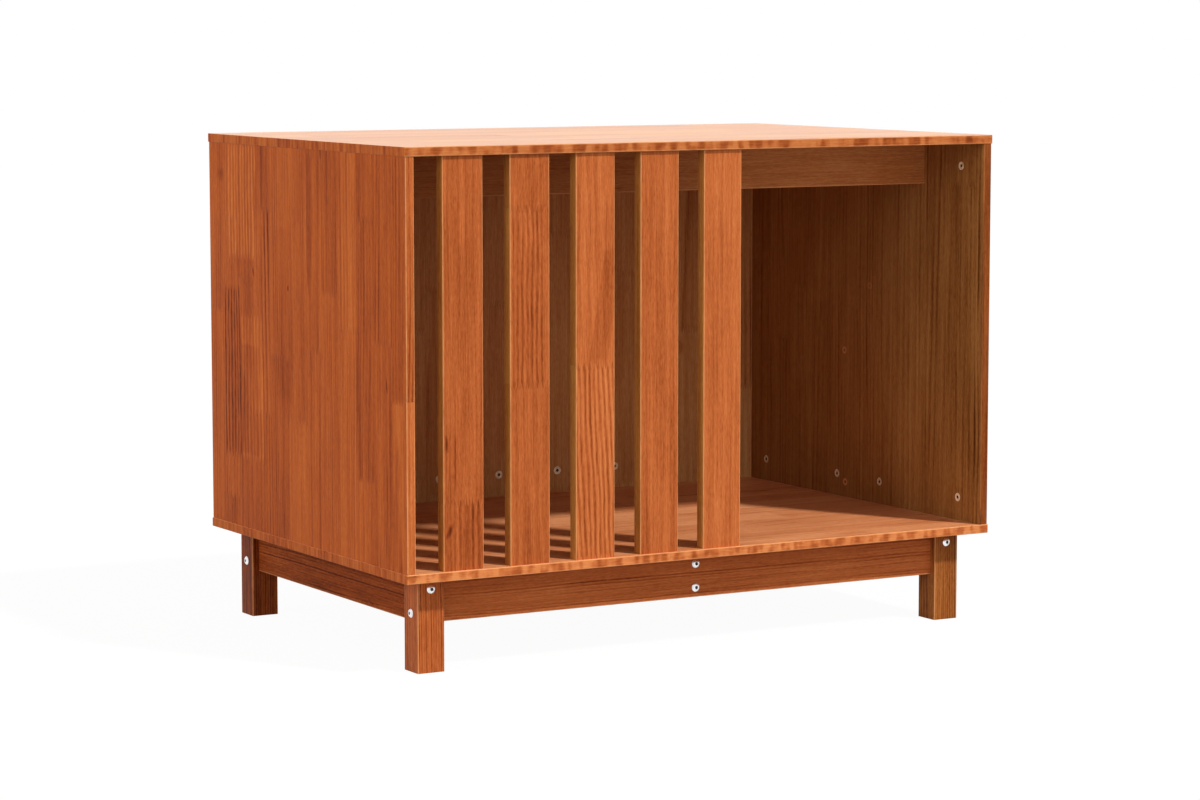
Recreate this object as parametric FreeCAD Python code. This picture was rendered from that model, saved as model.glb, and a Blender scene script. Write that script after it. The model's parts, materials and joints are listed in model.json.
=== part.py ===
import FreeCAD, Part
import os

# A low wooden table that is also a dog's den: a box of thin boards with a slatted front and an
# open doorway, carried by a frame of rails on four short legs. Millimetres, +Z up. The origin is
# on the floor under the middle of the box, +X runs along the front and the front faces -Y.

# ---- Driving dimensions: the box ----
table_width = 900.0          # top board, along X
table_depth = 600.0          # top board, along Y
table_height = 670.0         # floor to the top face
leg_length = 121.0           # floor to the underside of the box
board_thickness = 12.0       # top, bottom, sides and back are cut from one board
board_overhang = 1.0         # how far the top and bottom stand past the walls
edge_ease = 1.0              # rounding of every edge that a hand can reach

# ---- Driving dimensions: the front ----
slat_count = 5
slat_width = 57.5
slat_thickness = 16.0
slat_gap = 38.8              # between two slats
first_slat_gap = 41.0        # between the left side and the first slat
slat_setback = 3.0           # slat face behind the front edges of the sides
top_rail_height = 60.0
top_rail_thickness = 18.0
top_rail_setback = 141.0     # rail face behind the front edge of the top

# ---- Driving dimensions: the base ----
leg_width = 38.0             # legs are square
leg_inset = 30.0             # leg face in from the edge of the box
base_rail_height = 58.0
base_rail_thickness = 18.0   # rails stand on the middle line of the legs
rail_fixing_margin = 13.0    # a bolt or dowel in from the upper or lower edge of a rail

# ---- Driving dimensions: bolts and barrel nuts ----
bolt_diameter = 6.0
bolt_head_diameter = 12.0
bolt_head_height = 3.3
bolt_head_rim = 0.6          # straight rim under the dome
bolt_socket_flats = 4.0
bolt_socket_depth = 1.9
bolt_tip = 2.0               # thread that shows beyond the nut
nut_diameter = 10.0
nut_distance = 25.0          # nut axis in from the end of its rail
nut_recess = 2.0             # nut end below the rail's inner face
nut_backing = 2.0            # wood left behind the nut
nut_slot_width = 1.2
nut_slot_depth = 1.0

# ---- Driving dimensions: cam locks and their pins ----
cam_diameter = 12.0
cam_edge_distance = 32.0     # cam axis in from the edge of its board
cam_backing = 2.0            # wood left behind a cam
cam_rim_width = 1.3
cam_dish_depth = 0.5
cam_slot_width = 1.4
cam_slot_length = 7.0
cam_slot_depth = 1.2
cam_play = 0.6               # pin head to the inside of the cam
pin_diameter = 5.0
pin_head_diameter = 6.0
pin_head_length = 3.0
side_cam_end_inset = 54.5    # first and last cam of a side, in from the edges of the box
side_cam_mid_offset = 54.5   # the two middle cams, from the middle of the side
back_cam_count = 9           # along each long edge of the back
back_cam_end_inset = 45.0    # first and last cam, in from the ends of the back
blind_hole_skin = 3.0        # wood left at the bottom of a hole in a board's face

# ---- Driving dimensions: dowels and screws ----
thin_dowel_diameter = 6.0
thin_dowel_depth = 18.0      # in the end or edge of the slat, rail or side that it holds
thin_dowel_inset = 14.0      # in from the edge of a slat or of the top rail
side_dowel_inset = 100.0     # in from the front and rear edges of the box
base_dowel_diameter = 8.0
base_dowel_depth = 18.0      # in the end of a base rail
wood_beside_bolt = 4.0       # wood between a dowel in a leg and the bolt that crosses it
screw_diameter = 4.0
screw_head_diameter = 8.0
screw_head_height = 2.6
screw_length = 47.0          # under the head, from the counterbore into the bottom board
screw_slot_width = 1.2
screw_slot_depth = 1.2

# ---- Driving dimensions: fits ----
fit_clearance = 0.1          # round a dowel, a pin's thread, a screw's thread and a nut
bore_clearance = 0.25        # round a cam, and round a bolt that passes through
pin_channel_clearance = 0.2  # round the head of a pin in the edge of its board
hole_end_clearance = 0.3     # past the end of a dowel, pin, bolt or screw

# ---- Places worked out from them ----
X_AXIS = FreeCAD.Vector(1, 0, 0)
Y_AXIS = FreeCAD.Vector(0, 1, 0)
Z_AXIS = FreeCAD.Vector(0, 0, 1)
ORIGIN = FreeCAD.Vector(0, 0, 0)
SIDES = (-1, 1)

half_width = table_width / 2
half_depth = table_depth / 2
wall_outer_x = half_width - board_overhang
wall_inner_x = wall_outer_x - board_thickness
wall_mid_x = wall_outer_x - board_thickness / 2
wall_end_y = half_depth - board_overhang
back_inner_y = wall_end_y - board_thickness
back_mid_y = wall_end_y - board_thickness / 2

floor_low_z = leg_length
floor_top_z = floor_low_z + board_thickness
ceiling_z = table_height - board_thickness

slat_front_y = slat_setback - wall_end_y
slat_mid_y = slat_front_y + slat_thickness / 2
top_rail_front_y = top_rail_setback - half_depth
top_rail_mid_y = top_rail_front_y + top_rail_thickness / 2
top_rail_low_z = ceiling_z - top_rail_height

leg_mid_x = half_width - leg_inset - leg_width / 2
leg_mid_y = half_depth - leg_inset - leg_width / 2
long_rail_end_x = leg_mid_x - leg_width / 2
side_rail_end_y = leg_mid_y - leg_width / 2
centre_rail_end_y = leg_mid_y - base_rail_thickness / 2
base_rail_low_z = floor_low_z - base_rail_height
upper_fixing_z = floor_low_z - rail_fixing_margin
lower_fixing_z = base_rail_low_z + rail_fixing_margin

blind_depth = board_thickness - blind_hole_skin
cam_bore_depth = board_thickness - cam_backing
cam_length = cam_bore_depth - hole_end_clearance
bolt_reach = nut_distance + nut_diameter / 2 + bolt_tip
nut_length = base_rail_thickness - nut_recess - nut_backing
base_dowel_leg_depth = leg_width / 2 - bolt_diameter / 2 - wood_beside_bolt
side_dowel_y = half_depth - side_dowel_inset


# ---- Small helpers ----
def point(x, y, z):
    return FreeCAD.Vector(x, y, z)


def cylinder(start, direction, length, diameter):
    return Part.makeCylinder(diameter / 2, length, start, direction)


def ease_edges(solid, directions):
    """Round the straight edges of a solid that run along any of the directions."""
    chosen = []
    for edge in solid.Edges:
        run = edge.Vertexes[-1].Point - edge.Vertexes[0].Point
        run.normalize()
        if any(abs(run.dot(direction)) > 0.999 for direction in directions):
            chosen.append(edge)
    return solid.makeFillet(edge_ease, chosen)


def timber(low, high, eased_along):
    """Return a board or bar between two corners, with its long edges eased."""
    size = high - low
    return ease_edges(Part.makeBox(size.x, size.y, size.z, low), eased_along)


def drilled(solid, holes):
    return solid.cut(Part.makeCompound(holes)).removeSplitter()


def turned(shape, place, x_direction, z_direction):
    """Return a copy of a shape made at the origin, turned to two directions and put at a place."""
    y_direction = z_direction.cross(x_direction)
    copy = shape.copy()
    rotation = FreeCAD.Rotation(x_direction, y_direction, z_direction, "ZXY")
    copy.Placement = FreeCAD.Placement(place, rotation)
    return copy


def save(name, solids):
    shape = solids[0] if len(solids) == 1 else Part.makeCompound(solids)
    shape.exportStep(os.path.join("parts", name + ".step"))
    print(name, len(shape.Solids), "solid(s), volume", round(shape.Volume), "valid", shape.isValid())


# ---- Where the fixings go ----
def side_cam_ys():
    """Return the places along a side board that hold a cam lock."""
    end = half_depth - side_cam_end_inset
    return [-end, -side_cam_mid_offset, side_cam_mid_offset, end]


def back_cam_xs():
    """Return the places along the back board that hold a cam lock."""
    first = back_cam_end_inset - wall_inner_x
    pitch = -2 * first / (back_cam_count - 1)
    return [first + pitch * index for index in range(back_cam_count)]


def slat_left_x(index):
    return first_slat_gap - wall_inner_x + index * (slat_width + slat_gap)


def slat_dowel_xs(index):
    left = slat_left_x(index)
    return [left + thin_dowel_inset, left + slat_width - thin_dowel_inset]


def top_rail_dowel_zs():
    return [top_rail_low_z + thin_dowel_inset, ceiling_z - thin_dowel_inset]


def box_joint_faces():
    """Return the two board faces that close the box, each with the way from it into the box."""
    return [(ceiling_z, -1), (floor_top_z, 1)]


def cam_places():
    """Return each cam lock as its board's name, joint face point, way to the cam and bore way."""
    places = []
    for face_z, inward in box_joint_faces():
        way = Z_AXIS * inward
        for side, name in zip(SIDES, ("left", "right")):
            for y in side_cam_ys():
                places.append((name, point(side * wall_mid_x, y, face_z), way, X_AXIS * side))
        for x in back_cam_xs():
            places.append(("back", point(x, back_mid_y, face_z), way, Y_AXIS))
    return places


def edge_dowel_places():
    """Return the dowels between the sides and the boards above and below them."""
    places = []
    for face_z, inward in box_joint_faces():
        for side in SIDES:
            for y in (-side_dowel_y, side_dowel_y):
                places.append((point(side * wall_mid_x, y, face_z), Z_AXIS * inward))
    return places


def slat_dowel_places():
    places = []
    for face_z, inward in box_joint_faces():
        for index in range(slat_count):
            for x in slat_dowel_xs(index):
                places.append((point(x, slat_mid_y, face_z), Z_AXIS * inward))
    return places


def top_rail_dowel_places():
    places = []
    for side in SIDES:
        for z in top_rail_dowel_zs():
            places.append((point(side * wall_inner_x, top_rail_mid_y, z), X_AXIS * -side))
    return places


def long_rail_joints():
    """Return each joint of a front or rear rail's end to a leg.

    A joint is the point where the rail's middle line meets the leg, the way along the rail, the
    way to the rail's inner face, the bolt's height and the dowel's height.
    """
    joints = []
    for side_x in SIDES:
        for side_y in SIDES:
            end = point(side_x * long_rail_end_x, side_y * leg_mid_y, 0)
            ways = (X_AXIS * -side_x, Y_AXIS * -side_y)
            joints.append((end, *ways, lower_fixing_z, upper_fixing_z))
    return joints


def side_rail_joints():
    """Return each joint of a side rail's end to a leg, in the same form."""
    joints = []
    for side_x in SIDES:
        for side_y in SIDES:
            end = point(side_x * leg_mid_x, side_y * side_rail_end_y, 0)
            ways = (Y_AXIS * -side_y, X_AXIS * -side_x)
            joints.append((end, *ways, upper_fixing_z, lower_fixing_z))
    return joints


def leg_joints():
    return long_rail_joints() + side_rail_joints()


def centre_joints():
    """Return each bolt between a long rail and the end of the centre rail."""
    joints = []
    for side_y in SIDES:
        for z in (upper_fixing_z, lower_fixing_z):
            joints.append((point(0, side_y * centre_rail_end_y, z), Y_AXIS * -side_y))
    return joints


def base_screw_places():
    """Return the underside of each screw's hole in the rails, at the quarter points of each rail."""
    places = []
    for side in SIDES:
        for other in SIDES:
            places.append(point(side * long_rail_end_x / 2, other * leg_mid_y, base_rail_low_z))
            places.append(point(side * leg_mid_x, other * side_rail_end_y / 2, base_rail_low_z))
        places.append(point(0, side * centre_rail_end_y / 2, base_rail_low_z))
    return places


# ---- Holes, from the same places ----
def dowel_hole(place, way, face_depth, end_depth, diameter):
    """Return the hole that a dowel fills on both sides of a joint face."""
    start = place - way * (face_depth + hole_end_clearance)
    length = face_depth + end_depth + 2 * hole_end_clearance
    return cylinder(start, way, length, diameter + 2 * fit_clearance)


def thin_dowel_holes(places):
    return [dowel_hole(place, way, blind_depth, thin_dowel_depth, thin_dowel_diameter)
            for place, way in places]


def pin_thread_holes():
    """Return the blind holes in the top and bottom boards that the pins screw into."""
    return [cylinder(place, -way, blind_depth + hole_end_clearance, pin_diameter + 2 * fit_clearance)
            for name, place, way, bore_way in cam_places()]


def cam_holes(board_name):
    """Return the bores for the cams of one board, with the channels from its edges to them."""
    holes = []
    for name, place, way, bore_way in cam_places():
        if name == board_name:
            centre = place + way * cam_edge_distance
            mouth = centre - bore_way * (board_thickness / 2)
            holes.append(cylinder(mouth, bore_way, cam_bore_depth, cam_diameter + 2 * bore_clearance))
            channel = pin_head_diameter + 2 * pin_channel_clearance
            holes.append(cylinder(place, way, cam_edge_distance, channel))
    return holes


def leg_holes():
    """Return the bolt and dowel holes in the base, each crossing from a leg into a rail."""
    holes = []
    for end, way, inner_way, bolt_z, dowel_z in leg_joints():
        head_seat = end - way * leg_width + Z_AXIS * bolt_z
        length = leg_width + bolt_reach + hole_end_clearance
        holes.append(cylinder(head_seat, way, length, bolt_diameter + 2 * bore_clearance))
        place = end + Z_AXIS * dowel_z
        holes.append(dowel_hole(place, way, base_dowel_leg_depth, base_dowel_depth, base_dowel_diameter))
    return holes


def nut_hole(bolt_axis_point, way, inner_way):
    """Return the hole for one barrel nut, drilled from the inner face of a rail."""
    mouth = bolt_axis_point + way * nut_distance + inner_way * (base_rail_thickness / 2)
    depth = nut_recess + nut_length + hole_end_clearance
    return cylinder(mouth, -inner_way, depth, nut_diameter + 2 * fit_clearance)


def leg_nut_holes():
    return [nut_hole(end + Z_AXIS * bolt_z, way, inner_way)
            for end, way, inner_way, bolt_z, dowel_z in leg_joints()]


def centre_holes():
    """Return the bolt and nut holes where the centre rail meets the long rails."""
    holes = []
    for end, way in centre_joints():
        length = base_rail_thickness + bolt_reach + hole_end_clearance
        start = end - way * base_rail_thickness
        holes.append(cylinder(start, way, length, bolt_diameter + 2 * bore_clearance))
        holes.append(nut_hole(end, way, X_AXIS))
    return holes


def screw_bite():
    return board_thickness - blind_hole_skin


def screw_counterbore():
    return base_rail_height + screw_bite() - screw_length


def screw_holes():
    """Return the counterbored holes up through the base rails into the bottom board."""
    holes = []
    for place in base_screw_places():
        counterbore = screw_head_diameter + 2 * bore_clearance
        holes.append(cylinder(place, Z_AXIS, screw_counterbore(), counterbore))
        length = base_rail_height + screw_bite() + hole_end_clearance
        holes.append(cylinder(place, Z_AXIS, length, screw_diameter + 2 * fit_clearance))
    return holes


# ---- Boards of the box ----
def flat_board(low_z):
    low = point(-half_width, -half_depth, low_z)
    high = point(half_width, half_depth, low_z + board_thickness)
    return timber(low, high, (X_AXIS, Y_AXIS, Z_AXIS))


def face_joint_holes():
    """Return the holes that the top and bottom boards have for the walls and slats."""
    dowels = edge_dowel_places() + slat_dowel_places()
    return pin_thread_holes() + thin_dowel_holes(dowels)


def top_panel():
    return drilled(flat_board(ceiling_z), face_joint_holes())


def bottom_panel():
    return drilled(flat_board(floor_low_z), face_joint_holes() + screw_holes())


def side_panel(side, name):
    """Return the left (-1) or right (1) side board."""
    edges = sorted((side * wall_inner_x, side * wall_outer_x))
    low = point(edges[0], -wall_end_y, floor_top_z)
    high = point(edges[1], wall_end_y, ceiling_z)
    dowels = edge_dowel_places() + top_rail_dowel_places()
    return drilled(timber(low, high, (Z_AXIS,)), cam_holes(name) + thin_dowel_holes(dowels))


def back_panel():
    low = point(-wall_inner_x, back_inner_y, floor_top_z)
    high = point(wall_inner_x, wall_end_y, ceiling_z)
    size = high - low
    return drilled(Part.makeBox(size.x, size.y, size.z, low), cam_holes("back"))


def slat(index):
    left = slat_left_x(index)
    low = point(left, slat_front_y, floor_top_z)
    high = point(left + slat_width, slat_front_y + slat_thickness, ceiling_z)
    return drilled(timber(low, high, (Z_AXIS,)), thin_dowel_holes(slat_dowel_places()))


def top_rail():
    low = point(-wall_inner_x, top_rail_front_y, top_rail_low_z)
    high = point(wall_inner_x, top_rail_front_y + top_rail_thickness, ceiling_z)
    return drilled(timber(low, high, (X_AXIS,)), thin_dowel_holes(top_rail_dowel_places()))


# ---- Legs and rails of the base ----
def leg(side_x, side_y):
    middle = point(side_x * leg_mid_x, side_y * leg_mid_y, 0)
    reach = point(leg_width / 2, leg_width / 2, 0)
    post = timber(middle - reach, middle + reach + Z_AXIS * leg_length, (Z_AXIS,))
    return drilled(post, leg_holes())


def base_rail(start, end, across):
    """Return one rail of the base between two points on its middle line."""
    half = across * (base_rail_thickness / 2)
    low = start - half + Z_AXIS * base_rail_low_z
    high = end + half + Z_AXIS * floor_low_z
    along = (end - start).normalize()
    holes = leg_holes() + leg_nut_holes() + centre_holes() + screw_holes()
    return drilled(timber(low, high, (along,)), holes)


def long_rail(side_y):
    y = side_y * leg_mid_y
    return base_rail(point(-long_rail_end_x, y, 0), point(long_rail_end_x, y, 0), Y_AXIS)


def side_rail(side_x):
    x = side_x * leg_mid_x
    return base_rail(point(x, -side_rail_end_y, 0), point(x, side_rail_end_y, 0), X_AXIS)


def centre_rail():
    return base_rail(point(0, -centre_rail_end_y, 0), point(0, centre_rail_end_y, 0), X_AXIS)


# ---- Fasteners ----
def hexagon_prism(flats, height):
    corner = flats / 3 ** 0.5
    turn = FreeCAD.Rotation(Z_AXIS, 60)
    corners = [X_AXIS * corner]
    for _ in range(6):
        corners.append(turn.multVec(corners[-1]))
    return Part.Face(Part.makePolygon(corners)).extrude(Z_AXIS * height)


def domed_bolt(length):
    """Return a bolt along +Z with the seat of its domed socket head at the origin."""
    radius = bolt_head_diameter / 2
    dome_rise = bolt_head_height - bolt_head_rim
    sphere_radius = (dome_rise ** 2 + radius ** 2) / (2 * dome_rise)
    sphere_centre = Z_AXIS * (sphere_radius - bolt_head_height)
    head = cylinder(ORIGIN, -Z_AXIS, bolt_head_height, bolt_head_diameter)
    head = head.common(Part.makeSphere(sphere_radius, sphere_centre))
    socket = hexagon_prism(bolt_socket_flats, bolt_socket_depth)
    socket.translate(Z_AXIS * -bolt_head_height)
    return head.fuse(cylinder(ORIGIN, Z_AXIS, length, bolt_diameter)).cut(socket).removeSplitter()


def leg_bolts(joints):
    """Return the bolts that pass through the legs into the ends of the rails."""
    bolt = domed_bolt(leg_width + bolt_reach)
    return [turned(bolt, end - way * leg_width + Z_AXIS * bolt_z, Z_AXIS, way)
            for end, way, inner_way, bolt_z, dowel_z in joints]


def centre_rail_bolts():
    bolt = domed_bolt(base_rail_thickness + bolt_reach)
    return [turned(bolt, end - way * base_rail_thickness, Z_AXIS, way) for end, way in centre_joints()]


def barrel_nut():
    """Return a barrel nut along +Z from the origin, with its cross hole along X."""
    body = cylinder(ORIGIN, Z_AXIS, nut_length, nut_diameter)
    middle = X_AXIS * -nut_diameter + Z_AXIS * (base_rail_thickness / 2 - nut_recess)
    hole = cylinder(middle, X_AXIS, 2 * nut_diameter, bolt_diameter + 2 * fit_clearance)
    slot = Part.makeBox(nut_diameter, nut_slot_width, nut_slot_depth)
    slot.translate(point(-nut_diameter / 2, -nut_slot_width / 2, 0))
    return body.cut(Part.makeCompound([hole, slot]))


def nut_place(bolt_axis_point, way, inner_way):
    inset = base_rail_thickness / 2 - nut_recess
    return bolt_axis_point + way * nut_distance + inner_way * inset


def leg_joint_nuts():
    nut = barrel_nut()
    return [turned(nut, nut_place(end + Z_AXIS * bolt_z, way, inner_way), way, -inner_way)
            for end, way, inner_way, bolt_z, dowel_z in leg_joints()]


def centre_rail_nuts():
    nut = barrel_nut()
    return [turned(nut, nut_place(end, way, X_AXIS), way, -X_AXIS) for end, way in centre_joints()]


def cam_lock():
    """Return a cam lock with its face at the origin, its body along +Z and its mouth towards -X."""
    body = cylinder(ORIGIN, Z_AXIS, cam_length, cam_diameter)
    dish = cylinder(ORIGIN, Z_AXIS, cam_dish_depth, cam_diameter - 2 * cam_rim_width)
    cap = board_thickness / 2 - pin_head_diameter / 2 - cam_play
    hollow_diameter = pin_head_diameter + 2 * cam_play
    hollow = cylinder(Z_AXIS * cap, Z_AXIS, cam_length, hollow_diameter)
    mouth = Part.makeBox(cam_diameter, hollow_diameter, cam_length)
    mouth.translate(point(-cam_diameter, -hollow_diameter / 2, cap))
    slot_depth = cam_dish_depth + cam_slot_depth
    slot = Part.makeBox(cam_slot_length, cam_slot_width, slot_depth)
    slot.translate(point(-cam_slot_length / 2, -cam_slot_width / 2, 0))
    crossed = slot.copy()
    crossed.rotate(ORIGIN, Z_AXIS, 90)
    return body.cut(Part.makeCompound([dish, hollow, mouth, slot, crossed]))


def cam_locks(board_name):
    cam = cam_lock()
    locks = []
    for name, place, way, bore_way in cam_places():
        if name == board_name:
            face = place + way * cam_edge_distance - bore_way * (board_thickness / 2)
            locks.append(turned(cam, face, way, bore_way))
    return locks


def cam_pins(board_names):
    """Return the pins that stand in the top and bottom boards and end inside the cams."""
    neck = cam_edge_distance - pin_head_length / 2
    shank = cylinder(Z_AXIS * -blind_depth, Z_AXIS, blind_depth + neck, pin_diameter)
    pin = shank.fuse(cylinder(Z_AXIS * neck, Z_AXIS, pin_head_length, pin_head_diameter))
    return [turned(pin, place, bore_way, way)
            for name, place, way, bore_way in cam_places() if name in board_names]


def dowels(places, face_depth, end_depth, diameter):
    return [cylinder(place - way * face_depth, way, face_depth + end_depth, diameter)
            for place, way in places]


def thin_dowels(places):
    return dowels(places, blind_depth, thin_dowel_depth, thin_dowel_diameter)


def base_dowels():
    places = [(end + Z_AXIS * dowel_z, way) for end, way, inner_way, bolt_z, dowel_z in leg_joints()]
    return dowels(places, base_dowel_leg_depth, base_dowel_depth, base_dowel_diameter)


def base_screws():
    """Return the screws that hold the box down on the base rails."""
    head = cylinder(Z_AXIS * -screw_head_height, Z_AXIS, screw_head_height, screw_head_diameter)
    slot = Part.makeBox(screw_head_diameter, screw_slot_width, screw_slot_depth)
    slot.translate(point(-screw_head_diameter / 2, -screw_slot_width / 2, -screw_head_height))
    screw = head.fuse(cylinder(ORIGIN, Z_AXIS, screw_length, screw_diameter)).cut(slot)
    return [turned(screw, place + Z_AXIS * screw_counterbore(), X_AXIS, Z_AXIS)
            for place in base_screw_places()]


# ---- The whole table ----
def save_boards():
    save("top_panel", [top_panel()])
    save("bottom_panel", [bottom_panel()])
    for side, name in zip(SIDES, ("left", "right")):
        save(name + "_side_panel", [side_panel(side, name)])
    save("back_panel", [back_panel()])
    for index in range(slat_count):
        save("slat_" + str(index + 1), [slat(index)])
    save("top_rail", [top_rail()])


def save_base():
    for side_y, end_name in zip(SIDES, ("front", "rear")):
        for side_x, side_name in zip(SIDES, ("left", "right")):
            save("leg_" + end_name + "_" + side_name, [leg(side_x, side_y)])
        save("base_rail_" + end_name, [long_rail(side_y)])
    for side_x, side_name in zip(SIDES, ("left", "right")):
        save("base_rail_" + side_name, [side_rail(side_x)])
    save("base_rail_centre", [centre_rail()])


def save_fasteners():
    save("long_rail_bolts", leg_bolts(long_rail_joints()))
    save("side_rail_bolts", leg_bolts(side_rail_joints()))
    save("centre_rail_bolts", centre_rail_bolts())
    save("leg_joint_nuts", leg_joint_nuts())
    save("centre_rail_nuts", centre_rail_nuts())
    for name in ("left", "right", "back"):
        save(name + "_cam_locks", cam_locks(name))
    save("side_cam_pins", cam_pins(("left", "right")))
    save("back_cam_pins", cam_pins(("back",)))
    save("side_panel_dowels", thin_dowels(edge_dowel_places()))
    save("slat_dowels", thin_dowels(slat_dowel_places()))
    save("top_rail_dowels", thin_dowels(top_rail_dowel_places()))
    save("base_dowels", base_dowels())
    save("base_screws", base_screws())


os.makedirs("parts", exist_ok=True)
save_boards()
save_base()
save_fasteners()
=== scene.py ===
"""Finishes, fasteners and studio of a dog crate end table in stained, glued pine.

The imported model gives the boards, legs and rails. This script finishes each of them as sawn pine
with its own grain, puts turned and threaded fasteners in the place of the plain ones, and sets up
the floor, the lamps and the camera.
"""

import json
import logging
import math
from dataclasses import dataclass, field
from enum import Enum
from typing import Iterable, Optional, Sequence, Union

import bmesh
import bpy
from mathutils import Euler, Matrix, Vector

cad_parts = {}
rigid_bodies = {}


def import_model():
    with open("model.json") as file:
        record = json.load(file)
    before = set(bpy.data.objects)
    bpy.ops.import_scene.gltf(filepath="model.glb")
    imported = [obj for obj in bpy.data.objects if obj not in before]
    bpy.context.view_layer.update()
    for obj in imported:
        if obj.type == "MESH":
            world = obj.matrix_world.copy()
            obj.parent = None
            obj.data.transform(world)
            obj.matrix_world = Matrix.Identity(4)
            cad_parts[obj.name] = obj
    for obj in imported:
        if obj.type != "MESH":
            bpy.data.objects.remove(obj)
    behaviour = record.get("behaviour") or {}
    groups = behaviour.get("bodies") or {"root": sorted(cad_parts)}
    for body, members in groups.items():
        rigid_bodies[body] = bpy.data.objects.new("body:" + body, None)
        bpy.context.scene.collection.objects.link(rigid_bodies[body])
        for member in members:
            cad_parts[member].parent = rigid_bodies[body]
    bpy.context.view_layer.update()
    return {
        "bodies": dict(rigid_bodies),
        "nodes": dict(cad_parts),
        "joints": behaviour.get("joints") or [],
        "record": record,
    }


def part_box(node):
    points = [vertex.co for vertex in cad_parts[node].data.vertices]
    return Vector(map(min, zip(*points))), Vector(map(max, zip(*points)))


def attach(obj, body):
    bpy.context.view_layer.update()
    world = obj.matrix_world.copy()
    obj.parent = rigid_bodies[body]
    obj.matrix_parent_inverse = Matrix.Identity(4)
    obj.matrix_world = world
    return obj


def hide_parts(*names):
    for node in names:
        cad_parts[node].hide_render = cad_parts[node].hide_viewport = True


logging.basicConfig(level=logging.INFO, format="%(levelname)s %(message)s")
LOG = logging.getLogger("crate_table")

MM = 0.001
ROOT = "root"

Socket = bpy.types.NodeSocket
Shade = tuple[float, float, float]
Spot = tuple[float, float]
Triple = tuple[float, float, float]
Number = Union[float, "Amount"]
Value = Union[float, Sequence[float], Socket, "Amount"]


def linear(*screen: float) -> Shade:
    """Turn a colour as a screen shows it, 0 to 255, into the linear values that a shader takes."""
    return tuple(share / 12.92 if share <= 0.04045 else ((share + 0.055) / 1.055) ** 2.4
                 for share in (value / 255 for value in screen))


def show(name: str, data: bpy.types.ID) -> bpy.types.Object:
    """Return a new object in the scene, at the origin."""
    made = bpy.data.objects.new(name, data)
    bpy.context.scene.collection.objects.link(made)
    return made


def show_mesh(name: str, shape: bmesh.types.BMesh,
              finishes: Iterable[bpy.types.Material]) -> bpy.types.Object:
    """Make an object of a shape.

    Args:
        name: The object's name.
        shape: Its shape, which is freed.
        finishes: Its materials, the first one first.

    Returns:
        The new object.
    """
    mesh = bpy.data.meshes.new(name)
    shape.to_mesh(mesh)
    shape.free()
    for finish in finishes:
        mesh.materials.append(finish)
    return show(name, mesh)


class Axis(Enum):
    """A direction of the table: along its width, its depth or its height."""

    X = 0
    Y = 1
    Z = 2

    @property
    def vector(self) -> Vector:
        """Return the unit vector along this axis."""
        return Vector([1.0 if index == self.value else 0.0 for index in range(3)])


class Amount:
    """A number that a shader works out at each point. Arithmetic on it adds nodes."""

    def __init__(self, graph: "ShaderGraph", socket: Socket) -> None:
        """Keep the socket that gives the number."""
        self.graph = graph
        self.socket = socket

    def __add__(self, other: Number) -> "Amount":
        """Return the sum."""
        return self.graph.math("ADD", self, other)

    def __radd__(self, other: float) -> "Amount":
        """Return the sum with a plain number."""
        return self.graph.math("ADD", other, self)

    def __sub__(self, other: Number) -> "Amount":
        """Return the difference."""
        return self.graph.math("SUBTRACT", self, other)

    def __mul__(self, other: Number) -> "Amount":
        """Return the product."""
        return self.graph.math("MULTIPLY", self, other)

    def __rmul__(self, other: float) -> "Amount":
        """Return the product with a plain number."""
        return self.graph.math("MULTIPLY", other, self)

    def __truediv__(self, other: Number) -> "Amount":
        """Return the quotient."""
        return self.graph.math("DIVIDE", self, other)

    def __abs__(self) -> "Amount":
        """Return the number without its sign."""
        return self.graph.math("ABSOLUTE", self)

    def between(self, start: float, end: float) -> "Amount":
        """Return the start where this number is 0, the end where it is 1, and a straight line on."""
        return self.graph.math("MULTIPLY_ADD", self, end - start, start)

    def swing(self) -> "Amount":
        """Return the number with 0 to 1 spread over -1 to 1."""
        return self.between(-1.0, 1.0)

    def step(self, low: float, high: float, start: float = 0.0, end: float = 1.0) -> "Amount":
        """Return a smooth blend from start to end while this number crosses from low to high."""
        ends = {"Value": self, "From Min": low, "From Max": high, "To Min": start, "To Max": end}
        blend = self.graph.node("MapRange", ends, interpolation_type="SMOOTHSTEP")
        return Amount(self.graph, blend.outputs[0])

    def fade(self, low: float, high: float) -> "Amount":
        """Return 1 at and below low, 0 at and above high."""
        return self.step(low, high, 1.0, 0.0)


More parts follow.
